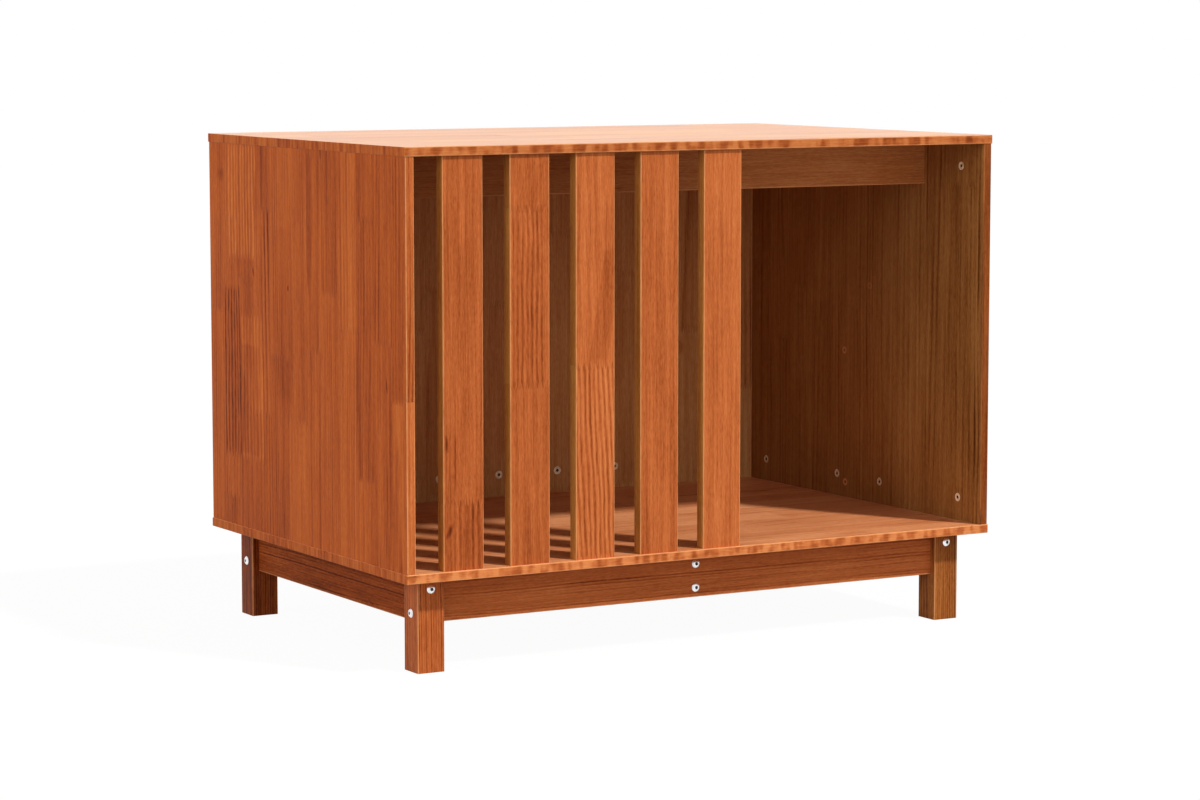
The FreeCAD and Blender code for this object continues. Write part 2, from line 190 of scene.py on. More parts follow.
class ShaderGraph:
    """Adds nodes to the tree of one material, or of the surround, and joins their sockets."""

    def __init__(self, owner: bpy.types.ID) -> None:
        """Start with the owner's node tree, emptied."""
        owner.use_nodes = True
        self.owner = owner
        self.tree = owner.node_tree
        self.tree.nodes.clear()

    def node(self, kind: str, inputs: Optional[dict] = None, **settings: object) -> bpy.types.Node:
        """Add one node.

        Args:
            kind: The node's type, after the word ShaderNode.
            inputs: Its input sockets by name or number, each with a value, an amount or a socket.
            **settings: The node's own settings.

        Returns:
            The new node.
        """
        made = self.tree.nodes.new(f"ShaderNode{kind}")
        for name, setting in settings.items():
            setattr(made, name, setting)
        for key, value in (inputs or {}).items():
            target = made.inputs[key]
            source = value.socket if isinstance(value, Amount) else value
            if isinstance(source, Socket):
                self.tree.links.new(source, target)
            else:
                target.default_value = (*source, 1.0) if target.type == "RGBA" else source
        return made

    def math(self, operation: str, *values: Number) -> Amount:
        """Return the result of one arithmetic step on numbers."""
        return Amount(self, self.node("Math", dict(enumerate(values)), operation=operation).outputs[0])

    def hypotenuse(self, first: Amount, second: Amount) -> Amount:
        """Return the long side over two that meet squarely."""
        return self.math("SQRT", first * first + second * second)

    def point(self, *places: Number) -> Socket:
        """Return a vector made of three numbers."""
        return self.node("CombineXYZ", dict(enumerate(places))).outputs[0]

    def split(self, vector: Socket) -> list[Amount]:
        """Return the three numbers of a vector or a colour."""
        return [Amount(self, part) for part in self.node("SeparateXYZ", {0: vector}).outputs]

    def mapped(self, vector: Socket, **changes: Sequence[float]) -> Socket:
        """Return a vector after its Scale, Rotation and Location."""
        return self.node("Mapping", {"Vector": vector, **changes}).outputs[0]

    def shifted(self, vector: Socket, offset: Value, amount: float = 1.0) -> Socket:
        """Return a vector moved by an offset times an amount."""
        scaled = self.node("VectorMath", {0: offset, 1: (amount,) * 3}, operation="MULTIPLY").outputs[0]
        return self.node("VectorMath", {0: vector, 1: scaled}, operation="ADD").outputs[0]

    def mix(self, share: Number, first: Number, second: Number) -> Amount:
        """Return a number between two others."""
        return Amount(self, self.node("Mix", {0: share, 2: first, 3: second}, data_type="FLOAT").outputs[0])

    def tint(self, share: Number, first: Value, second: Value, blend: str = "MIX") -> Socket:
        """Return a colour mixed of two others."""
        inputs = {0: share, 6: first, 7: second}
        return self.node("Mix", inputs, data_type="RGBA", blend_type=blend).outputs[2]

    def noise(self, vector: Socket, detail: float = 2.0, roughness: float = 0.5) -> Amount:
        """Return soft noise between 0 and 1, one feature per unit of the vector."""
        inputs = {"Vector": vector, "Scale": 1.0, "Detail": detail, "Roughness": roughness}
        return Amount(self, self.node("TexNoise", inputs).outputs[0])

    def chance(self, vector: Socket) -> tuple[Amount, Socket]:
        """Return a random number and a random colour, the same wherever the vector is."""
        made = self.node("TexWhiteNoise", {"Vector": vector}, noise_dimensions="3D")
        return Amount(self, made.outputs["Value"]), made.outputs["Color"]

    def cells(self, place: Amount, variety: float) -> tuple[Socket, Amount, Amount]:
        """Divide a line into cells of about one unit.

        Args:
            place: The place along the line.
            variety: How unlike in length the cells are, 0 to 1.

        Returns:
            Each cell's own colour, its middle, and how far its nearest border is.
        """
        inputs = {"W": place, "Scale": 1.0, "Randomness": variety}
        own, edge = (self.node("TexVoronoi", inputs, voronoi_dimensions="1D", feature=feature).outputs
                     for feature in ("F1", "DISTANCE_TO_EDGE"))
        return own["Color"], Amount(self, own["W"]), Amount(self, edge["Distance"])

    def ramp(self, value: Amount, stops: Sequence[tuple[float, Shade]]) -> Socket:
        """Return a colour from a row of coloured stops.

        Args:
            value: The place along the row, 0 to 1.
            stops: Each stop's place and colour, in order.

        Returns:
            The colour at that place.
        """
        made = self.node("ValToRGB", {0: value})
        elements = made.color_ramp.elements
        while len(elements) < len(stops):
            elements.new(0.5)
        for element, (place, shade) in zip(elements, stops):
            element.position = place
            element.color = (*shade, 1.0)
        return made.outputs["Color"]

    def finish(self, relief: Amount, strength: float, depth: float, **inputs: Value) -> bpy.types.Material:
        """Close the material with a shader, its fine relief and an output.

        Args:
            relief: The height at each point.
            strength: How strongly the relief turns the light.
            depth: How deep it is, in millimetres.
            **inputs: The shader's other inputs, with an underscore for each space in a name.

        Returns:
            The finished material.
        """
        bump = self.node("Bump", {"Strength": strength, "Distance": depth * MM, "Height": relief})
        named = {name.replace("_", " "): value for name, value in inputs.items()}
        shader = self.node("BsdfPrincipled", {**named, "Normal": bump.outputs[0]})
        self.node("OutputMaterial", {"Surface": shader.outputs[0]})
        return self.owner


def weighed(start: Number, marks: dict[str, Number], weights: dict[str, float]) -> Number:
    """Add marks to a number.

    Args:
        start: The number without them.
        marks: Every mark by its name.
        weights: How much of each mark to add, for the marks that count.

    Returns:
        The sum.
    """
    for name, weight in weights.items():
        start = start + marks[name] * weight
    return start


@dataclass(frozen=True)
class GrainFigure:
    """How the growth rings of one length of pine meet its faces. Lengths are in millimetres."""

    ring_pitch: float = 3.2
    contrast: float = 0.35
    pith_across: float = 25.0
    pith_below: float = 55.0
    lean: float = 0.01
    dip: float = 0.03
    tone: float = 0.0


@dataclass(frozen=True)
class JoinedSticks:
    """A board one stick wide, with finger joints at chosen heights along it.

    The joints are in millimetres from the middle of the board, and there is one figure more than
    there are joints.
    """

    figures: tuple[GrainFigure, ...] = (GrainFigure(),)
    joints: tuple[float, ...] = ()


@dataclass(frozen=True)
class GluedStaves:
    """A wide panel, glued up of finger-jointed staves. A pair is a range that chance picks from."""

    stave_width: float = 52.0
    stave_variety: float = 0.45
    segment_length: float = 330.0
    segment_variety: float = 0.8
    tightest_rings: float = 4.6
    ring_variety: float = 1.6
    widest_rings: float = 8.6
    contrast: float = 0.26
    bold_share: float = 0.16
    bold_contrast: float = 2.4
    tone_spread: float = 0.09
    pith_across: Spot = (-95.0, 95.0)
    pith_below: Spot = (22.0, 82.0)
    lean: Spot = (-0.012, 0.012)
    dip: Spot = (-0.025, 0.025)
    seam: Spot = (0.15, 0.45)
    seam_share: float = 0.6


@dataclass(frozen=True)
class FingerJoint:
    """The comb that joins two lengths of a stave, in millimetres."""

    length: float = 10.0
    pitch: float = 4.2
    glue: Spot = (0.4, 0.9)


@dataclass(frozen=True)
class PineStain:
    """The brown-red stain and satin lacquer on the pine, from the darkest line to the pale of a worn edge
    with a painted highlight.
    """

    name: str
    resin: Shade = linear(92, 36, 12)
    latewood: Shade = linear(148, 70, 31)
    body: Shade = linear(188, 101, 52)
    # Pale worn stain on the edges together with a painted highlight; also the pale ring of a plugged hole.
    earlywood: Shade = linear(216, 134, 78)
    pale_wear_and_highlight: Shade = linear(232, 164, 108)
    end_tint: Shade = (0.8, 0.6, 0.4)
    roughness: float = 0.34
    sheen_change: float = 0.14


@dataclass(frozen=True)
class PluggedHole:
    """A pale ring round a dark centre, as a plugged hole leaves. Millimetres from the board's middle."""

    along: float
    across: float
    strength: float
    radius: float = 6.0


@dataclass(frozen=True)
class LinedStretch:
    """A length of a stave with plain rings, dark or pale. Millimetres from the board's middle."""

    along: Spot
    across: Spot
    pitch: float
    strength: float
    lean: float = 0.0


@dataclass(frozen=True)
class DarkPatch:
    """A soft darker patch, a blotch in the stain; the one on the right side is painted shade. Millimetres
    from the middle of its board.
    """

    along: float
    across: float
    half_length: float
    half_width: float
    lean: float = 0.0
    strength: float = 0.12
    softness: float = 0.3


@dataclass(frozen=True)
class BoardCut:
    """Which way one board was cut, what chance gives it, and how its two broad faces differ in painted light
    and shade.
    """

    node: str
    grain: Axis
    across: Axis
    seed: float
    layout: Union[JoinedSticks, GluedStaves]
    tone: float = 0.0
    inner_side: float = 0.0
    # The inner and outer face tints are painted light and shade, for how the light falls on each broad face.
    inner_painted_light_and_shade: Shade = (1.0, 1.0, 1.0)
    outer_painted_light_and_shade: Shade = (1.0, 1.0, 1.0)
    edge_tint: Shade = (1.0, 1.0, 1.0)
    reflection: float = 0.05
    lacquer: float = 0.0
    # How pale the long edges get: worn stain and a painted highlight.
    edge_wear_and_highlight: float = 0.62
    streaks: float = 0.25
    edge_bands: float = 0.0
    band_pitch: float = 15.0
    end_line_pitch: float = 9.0
    knot_share: float = 0.25
    holes: tuple[PluggedHole, ...] = ()
    lined: tuple[LinedStretch, ...] = ()
    patches: tuple[DarkPatch, ...] = ()


@dataclass
class StickValues:
    """How the wood lies at each point of a board."""

    ring_pitch: Number
    contrast: Number
    pith_across: Number
    pith_below: Number
    lean: Number
    dip: Number
    tone: Number
    across: Amount
    glue: Number
    shuffle: Value


@dataclass(frozen=True)
class Mark:
    """A kind of soft mark: its length and width in millimetres, its detail and its roughness."""

    length: float
    width: float
    detail: float = 2.0
    roughness: float = 0.5


class PineMaterial:
    """Builds the material of one pine board from its cut and its stain.

    The depth of the stain goes from 0, resin, to 1, earlywood. DEPTH, RELIEF and SHEEN say how much
    each mark adds to that depth, to the height of the surface and to its roughness.
    """

    FINGER = FingerJoint()
    KNOT_SPACING = 130.0
    KNOT_RADIUS = 2.6
    KNOT_REACH = 15.0
    KNOT_BEND = 5.0
    RING_WANDER = 6.0
    RING_RIPPLE = 0.7
    LINE_WANDER = 7.0
    END_LINES = 0.85
    WANDER = Mark(320.0, 90.0, 1.0)
    RIPPLE = Mark(70.0, 9.0)
    PRESENCE = Mark(210.0, 17.0, 1.5)
    LINE_RIPPLE = Mark(170.0, 40.0, 3.0, 0.6)
    LINE_SHADE = Mark(26.0, 5.0)
    EDGE_WEAR_AND_HIGHLIGHT = Mark(34.0, 9.0, 3.0, 0.65)
    FIBRE = Mark(46.0, 0.9, 3.0, 0.65)
    MOTTLE = Mark(9.0, 1.8, 2.0, 0.6)
    STREAK = Mark(300.0, 8.0, 3.0, 0.6)
    PATCH = Mark(150.0, 60.0)
    DASH = Mark(11.0, 0.75, 1.0)
    PITCH = Mark(60.0, 2.2, 1.0)
    PLAIN_DEPTH = 0.6
    DEPTH = {"fibre": 0.28, "mottle": 0.19, "patch": 0.13, "dash": -0.16, "swirl": -0.2}
    RELIEF = {"fibre": 0.4, "rings": 0.5, "dash": -0.8, "glue": -0.7, "streak": 0.3, "heart": -0.6}
    SHEEN = {"rings": -0.05, "end": 0.18, "edge_wear_and_highlight": 0.08}
    STOPS = ((0.0, "resin"), (0.26, "latewood"), (0.56, "body"), (0.9, "earlywood"))

    def __init__(self, cut: BoardCut, stain: PineStain) -> None:
        """Start the material, with each point's place along, across and through the board in mm.

        Args:
            cut: Which way the board was cut.
            stain: The stain and lacquer on it.
        """
        self.cut = cut
        self.stain = stain
        self.graph = ShaderGraph(bpy.data.materials.new(f"{stain.name}_{cut.node}"))
        low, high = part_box(cut.node)
        self.half = (high - low) / (2 * MM)
        self.depth_axis = Axis(3 - cut.grain.value - cut.across.value)
        found = self.graph.node("TexCoord").outputs
        self.normals = self.graph.split(found["Normal"])
        places = self.graph.split(self.graph.mapped(
            found["Object"], Location=tuple(-(low + high) / 2 / MM), Scale=(1 / MM,) * 3))
        self.along = places[cut.grain.value]
        self.across = places[cut.across.value]
        self.through = places[self.depth_axis.value]
        wave = self.graph.math("PINGPONG", self.across / (self.FINGER.pitch / 2), 1.0)
        self.combed = self.along + wave.between(-self.FINGER.length / 2, self.FINGER.length / 2)

    def _facing(self, axis: Axis) -> Amount:
        """Return 1 on the faces that look along an axis, and 0 on the others."""
        return abs(self.normals[axis.value]).step(0.6, 0.8)

    def _facing_side(self, side: float) -> Amount:
        """Return 1 on the broad face towards the positive (1) or negative (-1) end of its axis."""
        return (self.normals[self.depth_axis.value] * side).step(0.6, 0.8)

    def _soft(self, mark: Mark, shuffle: Value) -> Amount:
        """Return soft noise between 0 and 1 with the size and detail of a mark."""
        vector = self.graph.point(self.along * (1 / mark.length), self.across * (1 / mark.width),
                                  self.through * (1 / mark.width))
        return self.graph.noise(self.graph.shifted(vector, shuffle, 97.0), mark.detail, mark.roughness)

    def _joined_sticks(self, layout: JoinedSticks) -> StickValues:
        """Give each length of a narrow board its chosen figure.

        Args:
            layout: The figures and the joints between them.

        Returns:
            The values at each point.
        """
        graph = self.graph
        values = dict(vars(layout.figures[0]))
        glue: Number = 0.0
        count: Number = self.cut.seed
        for joint, figure in zip(layout.joints, layout.figures[1:]):
            past = graph.math("GREATER_THAN", self.combed, joint)
            for name, value in vars(figure).items():
                values[name] = graph.mix(past, values[name], value)
            glue = graph.math("MAXIMUM", glue, abs(self.combed - joint).fade(*self.FINGER.glue))
            count = count + past
        shuffle = graph.chance(graph.point(count, self.cut.seed, 0.5))[1]
        return StickValues(across=self.across, glue=glue, shuffle=shuffle, **values)

    def _glued_staves(self, layout: GluedStaves) -> StickValues:
        """Let chance choose the staves of a panel and the lengths that they are joined from.

        Args:
            layout: The sizes of the staves and how they vary.

        Returns:
            The values at each point.
        """
        graph, seed = self.graph, self.cut.seed
        lane = self.graph.math("MULTIPLY_ADD", self.across, 1 / layout.stave_width, seed * 3.7)
        stave, middle, lane_gap = graph.cells(lane, layout.stave_variety)
        slide, stave_chance = graph.chance(graph.shifted(stave, (seed,) * 3))
        run = self.combed * (1 / layout.segment_length) + slide * 41.0
        segment, _, run_gap = graph.cells(run, layout.segment_variety)
        own = graph.shifted(stave_chance, segment, 1.7)
        pith, depth, bold = graph.split(graph.chance(own)[1])
        shuffle = graph.chance(graph.shifted(own, (5.3, 2.9, 7.7)))[1]
        lean, dip, tone = graph.split(shuffle)
        is_bold = bold.step(1 - layout.bold_share, 1 - layout.bold_share * 0.6)
        tight = graph.math("MULTIPLY_ADD", bold, layout.ring_variety, layout.tightest_rings)
        seam = (lane_gap * layout.stave_width).fade(*layout.seam) * layout.seam_share
        joint = (run_gap * layout.segment_length).fade(*self.FINGER.glue)
        return StickValues(
            ring_pitch=graph.mix(is_bold, tight, layout.widest_rings),
            contrast=graph.mix(is_bold, layout.contrast, layout.contrast * layout.bold_contrast),
            pith_across=pith.between(*layout.pith_across),
            pith_below=depth.between(*layout.pith_below),
            lean=lean.between(*layout.lean),
            dip=dip.between(*layout.dip),
            tone=tone.between(-layout.tone_spread, layout.tone_spread),
            across=(lane - middle) * layout.stave_width,
            glue=graph.math("MAXIMUM", seam, joint),
            shuffle=shuffle)

    def _knots(self) -> tuple[Amount, Amount]:
        """Place a few pin knots.

        Returns:
            The dark heart of each knot, and the swirl of the wood round it.
        """
        graph, spacing = self.graph, self.KNOT_SPACING
        vector = graph.point(self.along * (1 / spacing), self.across * (1 / spacing),
                             self.through * (0.2 / spacing))
        vector = graph.shifted(vector, (self.cut.seed * 5.1, self.cut.seed * 2.3, 0.0))
        knot = graph.node("TexVoronoi", {"Vector": vector, "Scale": 1.0}).outputs
        distance = Amount(graph, knot["Distance"]) * spacing
        there = graph.math("LESS_THAN", graph.split(knot["Color"])[0], self.cut.knot_share)
        heart = there * distance.fade(self.KNOT_RADIUS * 0.6, self.KNOT_RADIUS)
        return heart, there * distance.fade(self.KNOT_RADIUS * 0.5, self.KNOT_REACH)

    def _plugged_holes(self, stained: Socket) -> Socket:
        """Mark the known plugged holes on the inner face.

        Args:
            stained: The colour of the wood without them.

        Returns:
            The colour with them.
        """
        for known in self.cut.holes:
            distance = self.graph.hypotenuse(self.along - known.along, self.across - known.across)
            share = distance / known.radius
            for rim, shade in (((0.8, 1.0), self.stain.pale_wear_and_highlight), ((0.25, 0.5), self.stain.resin)):
                strength = share.fade(*rim) * self._facing_side(self.cut.inner_side) * known.strength
                stained = self.graph.tint(strength, stained, shade)
        return stained

    def _lined_stretches(self) -> Number:
        """Draw the lengths of stave whose plain rings are known.

        Returns:
            How much darker the lines are at each point, below 0 where they are pale.
        """
        lines: Number = 0.0
        for known in self.cut.lined:
            ripple = self._soft(self.LINE_RIPPLE, (known.pitch,) * 3).swing() * self.LINE_WANDER
            shade = self._soft(self.LINE_SHADE, (known.pitch,) * 3).step(0.25, 0.7, 0.6, 1.2)
            side = self.across + ripple + self.along * known.lean
            ring = self.graph.math("PINGPONG", side * (2 / known.pitch), 1.0).step(0.15, 0.95) * shade
            low, high = known.across
            inside = (self.across.step(low, low + 1.0) * self.across.fade(high - 1.0, high)
                      * self.graph.math("GREATER_THAN", self.combed, known.along[0])
                      * self.graph.math("LESS_THAN", self.combed, known.along[1]))
            lines = lines + ring * inside * known.strength
        return lines

    def _dark_patches(self) -> Number:
        """Return how much darker the known patches make the wood: stain blotches, and painted shade on the
        right side.
        """
        dark: Number = 0.0
        for known in self.cut.patches:
            place = self.along - known.along
            side = self.across - known.across + place * -known.lean
            shares = (abs(place) / known.half_length, abs(side) / known.half_width)
            length_fade, side_fade = (share.fade(1 - known.softness, 1.0) for share in shares)
            dark = dark + length_fade * side_fade * known.strength
        return dark

    def _rings(self, stick: StickValues, swirl: Amount) -> Amount:
        """Draw the growth rings.

        Args:
            stick: How the wood lies at each point.
            swirl: Where the grain goes round a knot.

        Returns:
            How far into the dark latewood of a ring each point is, 0 to 1.
        """
        graph = self.graph
        wander = self._soft(self.WANDER, stick.shuffle).swing() * self.RING_WANDER
        ripple = self._soft(self.RIPPLE, stick.shuffle).swing() * self.RING_RIPPLE
        side = stick.across - stick.pith_across + self.along * stick.lean + wander
        below = self.through + stick.pith_below + self.along * stick.dip + wander * 0.7
        years = (graph.hypotenuse(side, below) + ripple + swirl * self.KNOT_BEND) / stick.ring_pitch
        turn = graph.math("FRACT", years)
        season = graph.chance(graph.point(graph.math("FLOOR", years), self.cut.seed, 0.5))[0]
        presence = self._soft(self.PRESENCE, stick.shuffle).step(0.32, 0.68, 0.25, 1.2)
        line = turn.step(0.25, 0.85) * turn.fade(0.88, 1.0)
        return line * (season * season).between(0.3, 1.7) * presence

    def _edge_wear_and_highlight(self, shuffle: Value) -> Amount:
        """Paint the long eased edges pale in patches: worn stain and a painted highlight.

        Args:
            shuffle: Which part of the noise to take.

        Returns:
            How much pale wear and painted highlight each point gets, 0 to 1.
        """
        gaps = [self.graph.math("SUBTRACT", self.half[axis.value], abs(place))
                for axis, place in ((self.cut.across, self.across), (self.depth_axis, self.through))]
        nearest_edge = self.graph.math("MAXIMUM", *gaps)
        return nearest_edge.fade(0.4, 2.0) * self._soft(self.EDGE_WEAR_AND_HIGHLIGHT, shuffle).step(0.2, 0.65, 0.35, 1.0)

    def _marks(self, stick: StickValues) -> dict[str, Number]:
        """Draw every kind of mark.

        Args:
            stick: How the wood lies at each point.

        Returns:
            The marks by their names.
        """
        heart, swirl = self._knots()
        shuffle = stick.shuffle
        return {
            "heart": heart, "swirl": swirl, "rings": self._rings(stick, swirl), "glue": stick.glue,
            "fibre": self._soft(self.FIBRE, shuffle).swing(),
            "mottle": self._soft(self.MOTTLE, shuffle).swing(),
            "streak": self._soft(self.STREAK, shuffle).swing(),
            "patch": self._soft(self.PATCH, (self.cut.seed,) * 3).swing(),
            "dash": self._soft(self.DASH, shuffle).step(0.62, 0.76),
            "pitch": self._soft(self.PITCH, shuffle).step(0.74, 0.84),
            "edge_wear_and_highlight": self._edge_wear_and_highlight(shuffle),
            "edge": self._facing(self.cut.across),
            "end": self._facing(self.cut.grain)}

    def _depth(self, stick: StickValues, marks: dict[str, Number]) -> Amount:
        """Work out how far up the row of stain colours each point is.

        Args:
            stick: How the wood lies at each point.
            marks: Every kind of mark by its name.

        Returns:
            The depth of the stain.
        """
        graph, cut = self.graph, self.cut
        on_edge, on_end = marks["edge"], marks["end"]
        lengthwise = weighed(marks["rings"] * stick.contrast * -0.5, marks,
                             {"streak": cut.streaks, "pitch": -0.16})
        lengthwise = lengthwise * on_end.between(1.0, 0.2)
        bands: Number = 0.0
        if cut.edge_bands:
            place = graph.point(self.along * (1 / cut.band_pitch), cut.seed,
                                self.through * (0.5 / cut.band_pitch))
            bands = graph.noise(place, 1.5, 0.55).step(0.34, 0.62, -1.0, 0.5) * on_edge * cut.edge_bands
            lengthwise = lengthwise * on_edge.between(1.0, 0.3)
        place = graph.point(self.across * (1 / cut.end_line_pitch), cut.seed,
                            self.through * (0.1 / cut.end_line_pitch))
        end_lines = graph.noise(place, 2.5, 0.75).swing() * on_end * self.END_LINES
        depth = weighed(self.PLAIN_DEPTH + cut.tone + stick.tone + lengthwise, marks, self.DEPTH)
        return depth + bands + end_lines + self._lined_stretches() * -1.0 + self._dark_patches() * -1.0

    def _stained(self, depth: Amount, marks: dict[str, Number]) -> Socket:
        """Colour the wood.

        Args:
            depth: The depth of the stain.
            marks: Every kind of mark by its name.

        Returns:
            The colour at each point.
        """
        graph, cut, stain = self.graph, self.cut, self.stain
        stained = graph.ramp(depth, [(place, getattr(stain, name)) for place, name in self.STOPS])
        faces = [(marks["end"], stain.end_tint), (marks["edge"], cut.edge_tint)]
        # The inner and outer face tints are painted light and shade.
        if cut.inner_side:
            faces += [(self._facing_side(cut.inner_side), cut.inner_painted_light_and_shade),
                      (self._facing_side(-cut.inner_side), cut.outer_painted_light_and_shade)]
        for share, face_tint in faces:
            stained = graph.tint(share, stained, face_tint, "MULTIPLY")
        # Pale along the long edges: worn stain and a painted highlight.
        stained = graph.tint(marks["edge_wear_and_highlight"] * cut.edge_wear_and_highlight, stained, stain.pale_wear_and_highlight)
        glue = marks["glue"] * marks["edge"].between(0.4, 0.1)
        stained = graph.tint(graph.math("MAXIMUM", glue, marks["heart"] * 0.92), stained, stain.resin)
        return self._plugged_holes(stained)

    def build(self) -> bpy.types.Material:
        """Build the board's material.

        Returns:
            The finished material.
        """
        cut, stain = self.cut, self.stain
        lay_out = self._glued_staves if isinstance(cut.layout, GluedStaves) else self._joined_sticks
        stick = lay_out(cut.layout)
        marks = self._marks(stick)
        half_change = stain.sheen_change / 2
        sheen = weighed(stain.roughness, marks, {"fibre": half_change, "patch": half_change, **self.SHEEN})
        lacquer: dict[str, Value] = {}
        if cut.lacquer:
            lacquer = {"Coat_Weight": self._facing_side(-cut.inner_side) * cut.lacquer,
                       "Coat_Roughness": stain.roughness}
        return self.graph.finish(
            weighed(0.0, marks, self.RELIEF), 0.35, 0.12,
            Base_Color=self._stained(self._depth(stick, marks), marks), Roughness=sheen,
            Specular_IOR_Level=cut.reflection, IOR=1.45, **lacquer)


@dataclass(frozen=True)
class BareWood:
    """Beech of the dowels, with no stain on it."""

    name: str = "bare_beech"
    pale: Shade = linear(222, 188, 142)
    brown: Shade = linear(186, 142, 96)
    pore: Shade = linear(128, 88, 54)
    roughness: float = 0.62
    lengthwise: float = 60.0
    crosswise: float = 900.0

    def build(self, grain: Axis) -> bpy.types.Material:
        """Build the material for dowels that lie one way.

        Args:
            grain: The direction of the grain.

        Returns:
            The finished material.
        """
        graph = ShaderGraph(bpy.data.materials.new(f"{self.name}_{grain.name.lower()}"))
        stretched = graph.mapped(graph.node("TexCoord").outputs["Object"], Scale=tuple(
            self.lengthwise if axis is grain else self.crosswise for axis in Axis))
        fibre = graph.noise(stretched, 4.0, 0.6)
        flecks = graph.noise(graph.shifted(stretched, (3.1,) * 3), 1.0).step(0.6, 0.72)
        shade = graph.tint(flecks * 0.6, graph.tint(fibre, self.brown, self.pale), self.pore)
        return graph.finish(fibre, 0.4, 0.05, Base_Color=shade,
                            Roughness=fibre.step(0.2, 0.8, self.roughness, 0.8))


@dataclass(frozen=True)
class MetalFinish:
    """A metal with its plating, fine tool marks and patches of handling. Grain is in millimetres."""

    name: str
    bright: Shade
    dull: Shade
    roughness: float
    roughness_change: float
    grain_size: float
    pitting: float
    metallic: float = 1.0

    def build(self) -> bpy.types.Material:
        """Build the metal's material.

        Returns:
            The finished material.
        """
        graph = ShaderGraph(bpy.data.materials.new(self.name))
        place = graph.node("TexCoord").outputs["Object"]
        size = self.grain_size * MM
        fine, broad = (graph.mapped(place, Scale=(features / size,) * 3) for features in (1, 0.12))
        grain = graph.noise(fine, 3.0, 0.65)
        scratch = graph.mapped(fine, Rotation=(0.5, 0.9, 0.3), Scale=(0.1, 3.0, 3.0))
        scratches = graph.noise(scratch, 1.0).step(0.62, 0.7)
        wear = graph.math("MAXIMUM", graph.noise(broad).step(0.45, 0.65), scratches * 0.7)
        gloss = self.roughness + grain * self.roughness_change + wear * (self.roughness_change * 0.7)
        return graph.finish(grain * self.pitting + scratches * -0.4, 0.25, 0.03,
                            Base_Color=graph.tint(wear * 0.6, self.bright, self.dull),
                            Metallic=self.metallic, Roughness=gloss)


PANEL_STAIN = PineStain("stained_pine_panel")
SLAT_STAIN = PineStain("stained_pine_slat")
RAIL_STAIN = PineStain("stained_pine_rail", roughness=0.4)
LEG_STAIN = PineStain("stained_pine_leg", roughness=0.4)
BEECH = BareWood()
BOLT_STEEL = MetalFinish("zinc_plated_bolt_steel", linear(250, 250, 250), linear(214, 215, 218),
                         0.2, 0.14, 0.35, 0.6)
# Painted shade: this dark finish goes inside the sockets, cross slots and cam mouths, where shade falls.
SOCKET_PAINTED_SHADE = MetalFinish("socket_painted_shade_steel", linear(92, 88, 84), linear(52, 49, 46),
                           0.45, 0.2, 0.35, 0.8)
NUT_STEEL = MetalFinish("zinc_plated_nut_steel", linear(206, 208, 214), linear(150, 154, 162),
                        0.28, 0.2, 0.4, 0.8)
CAM_ZINC = MetalFinish("die_cast_zinc", linear(246, 220, 184), linear(204, 174, 136),
                       0.42, 0.2, 0.5, 1.0, 0.15)
PIN_STEEL = MetalFinish("plated_pin_steel", linear(212, 212, 214), linear(156, 158, 164),
                        0.26, 0.18, 0.4, 0.7)
SCREW_STEEL = MetalFinish("yellow_passivated_screw_steel", linear(214, 186, 118), linear(168, 134, 84),
                          0.27, 0.18, 0.4, 0.7)


class FrameNodes:
    """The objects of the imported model, by name."""

    def __init__(self, frame: dict) -> None:
        self.objects = frame["nodes"]

    def dress(self, name: str, material: bpy.types.Material, slot: str) -> None:
        """Give one node a material.

        Args:
            name: The node.
            material: Its new material.
            slot: The material slot in the record; not used.
        """
        node = self.objects[name]
        if not node.material_slots:
            node.data.materials.append(material)
        for material_slot in node.material_slots:
            material_slot.material = material
        LOG.info("dressed %s with %s", name, material.name)


class TimberGroup:
    """Boards of one kind that share a stain and a material slot."""

    SLOT = ""
    STAIN = PANEL_STAIN

    def cuts(self) -> list[BoardCut]:
        """Return the boards of the group."""
        raise NotImplementedError

    def dress(self, nodes: FrameNodes) -> None:
        """Finish each board of the group."""
        for cut in self.cuts():
            nodes.dress(cut.node, PineMaterial(cut, self.STAIN).build(), self.SLOT)


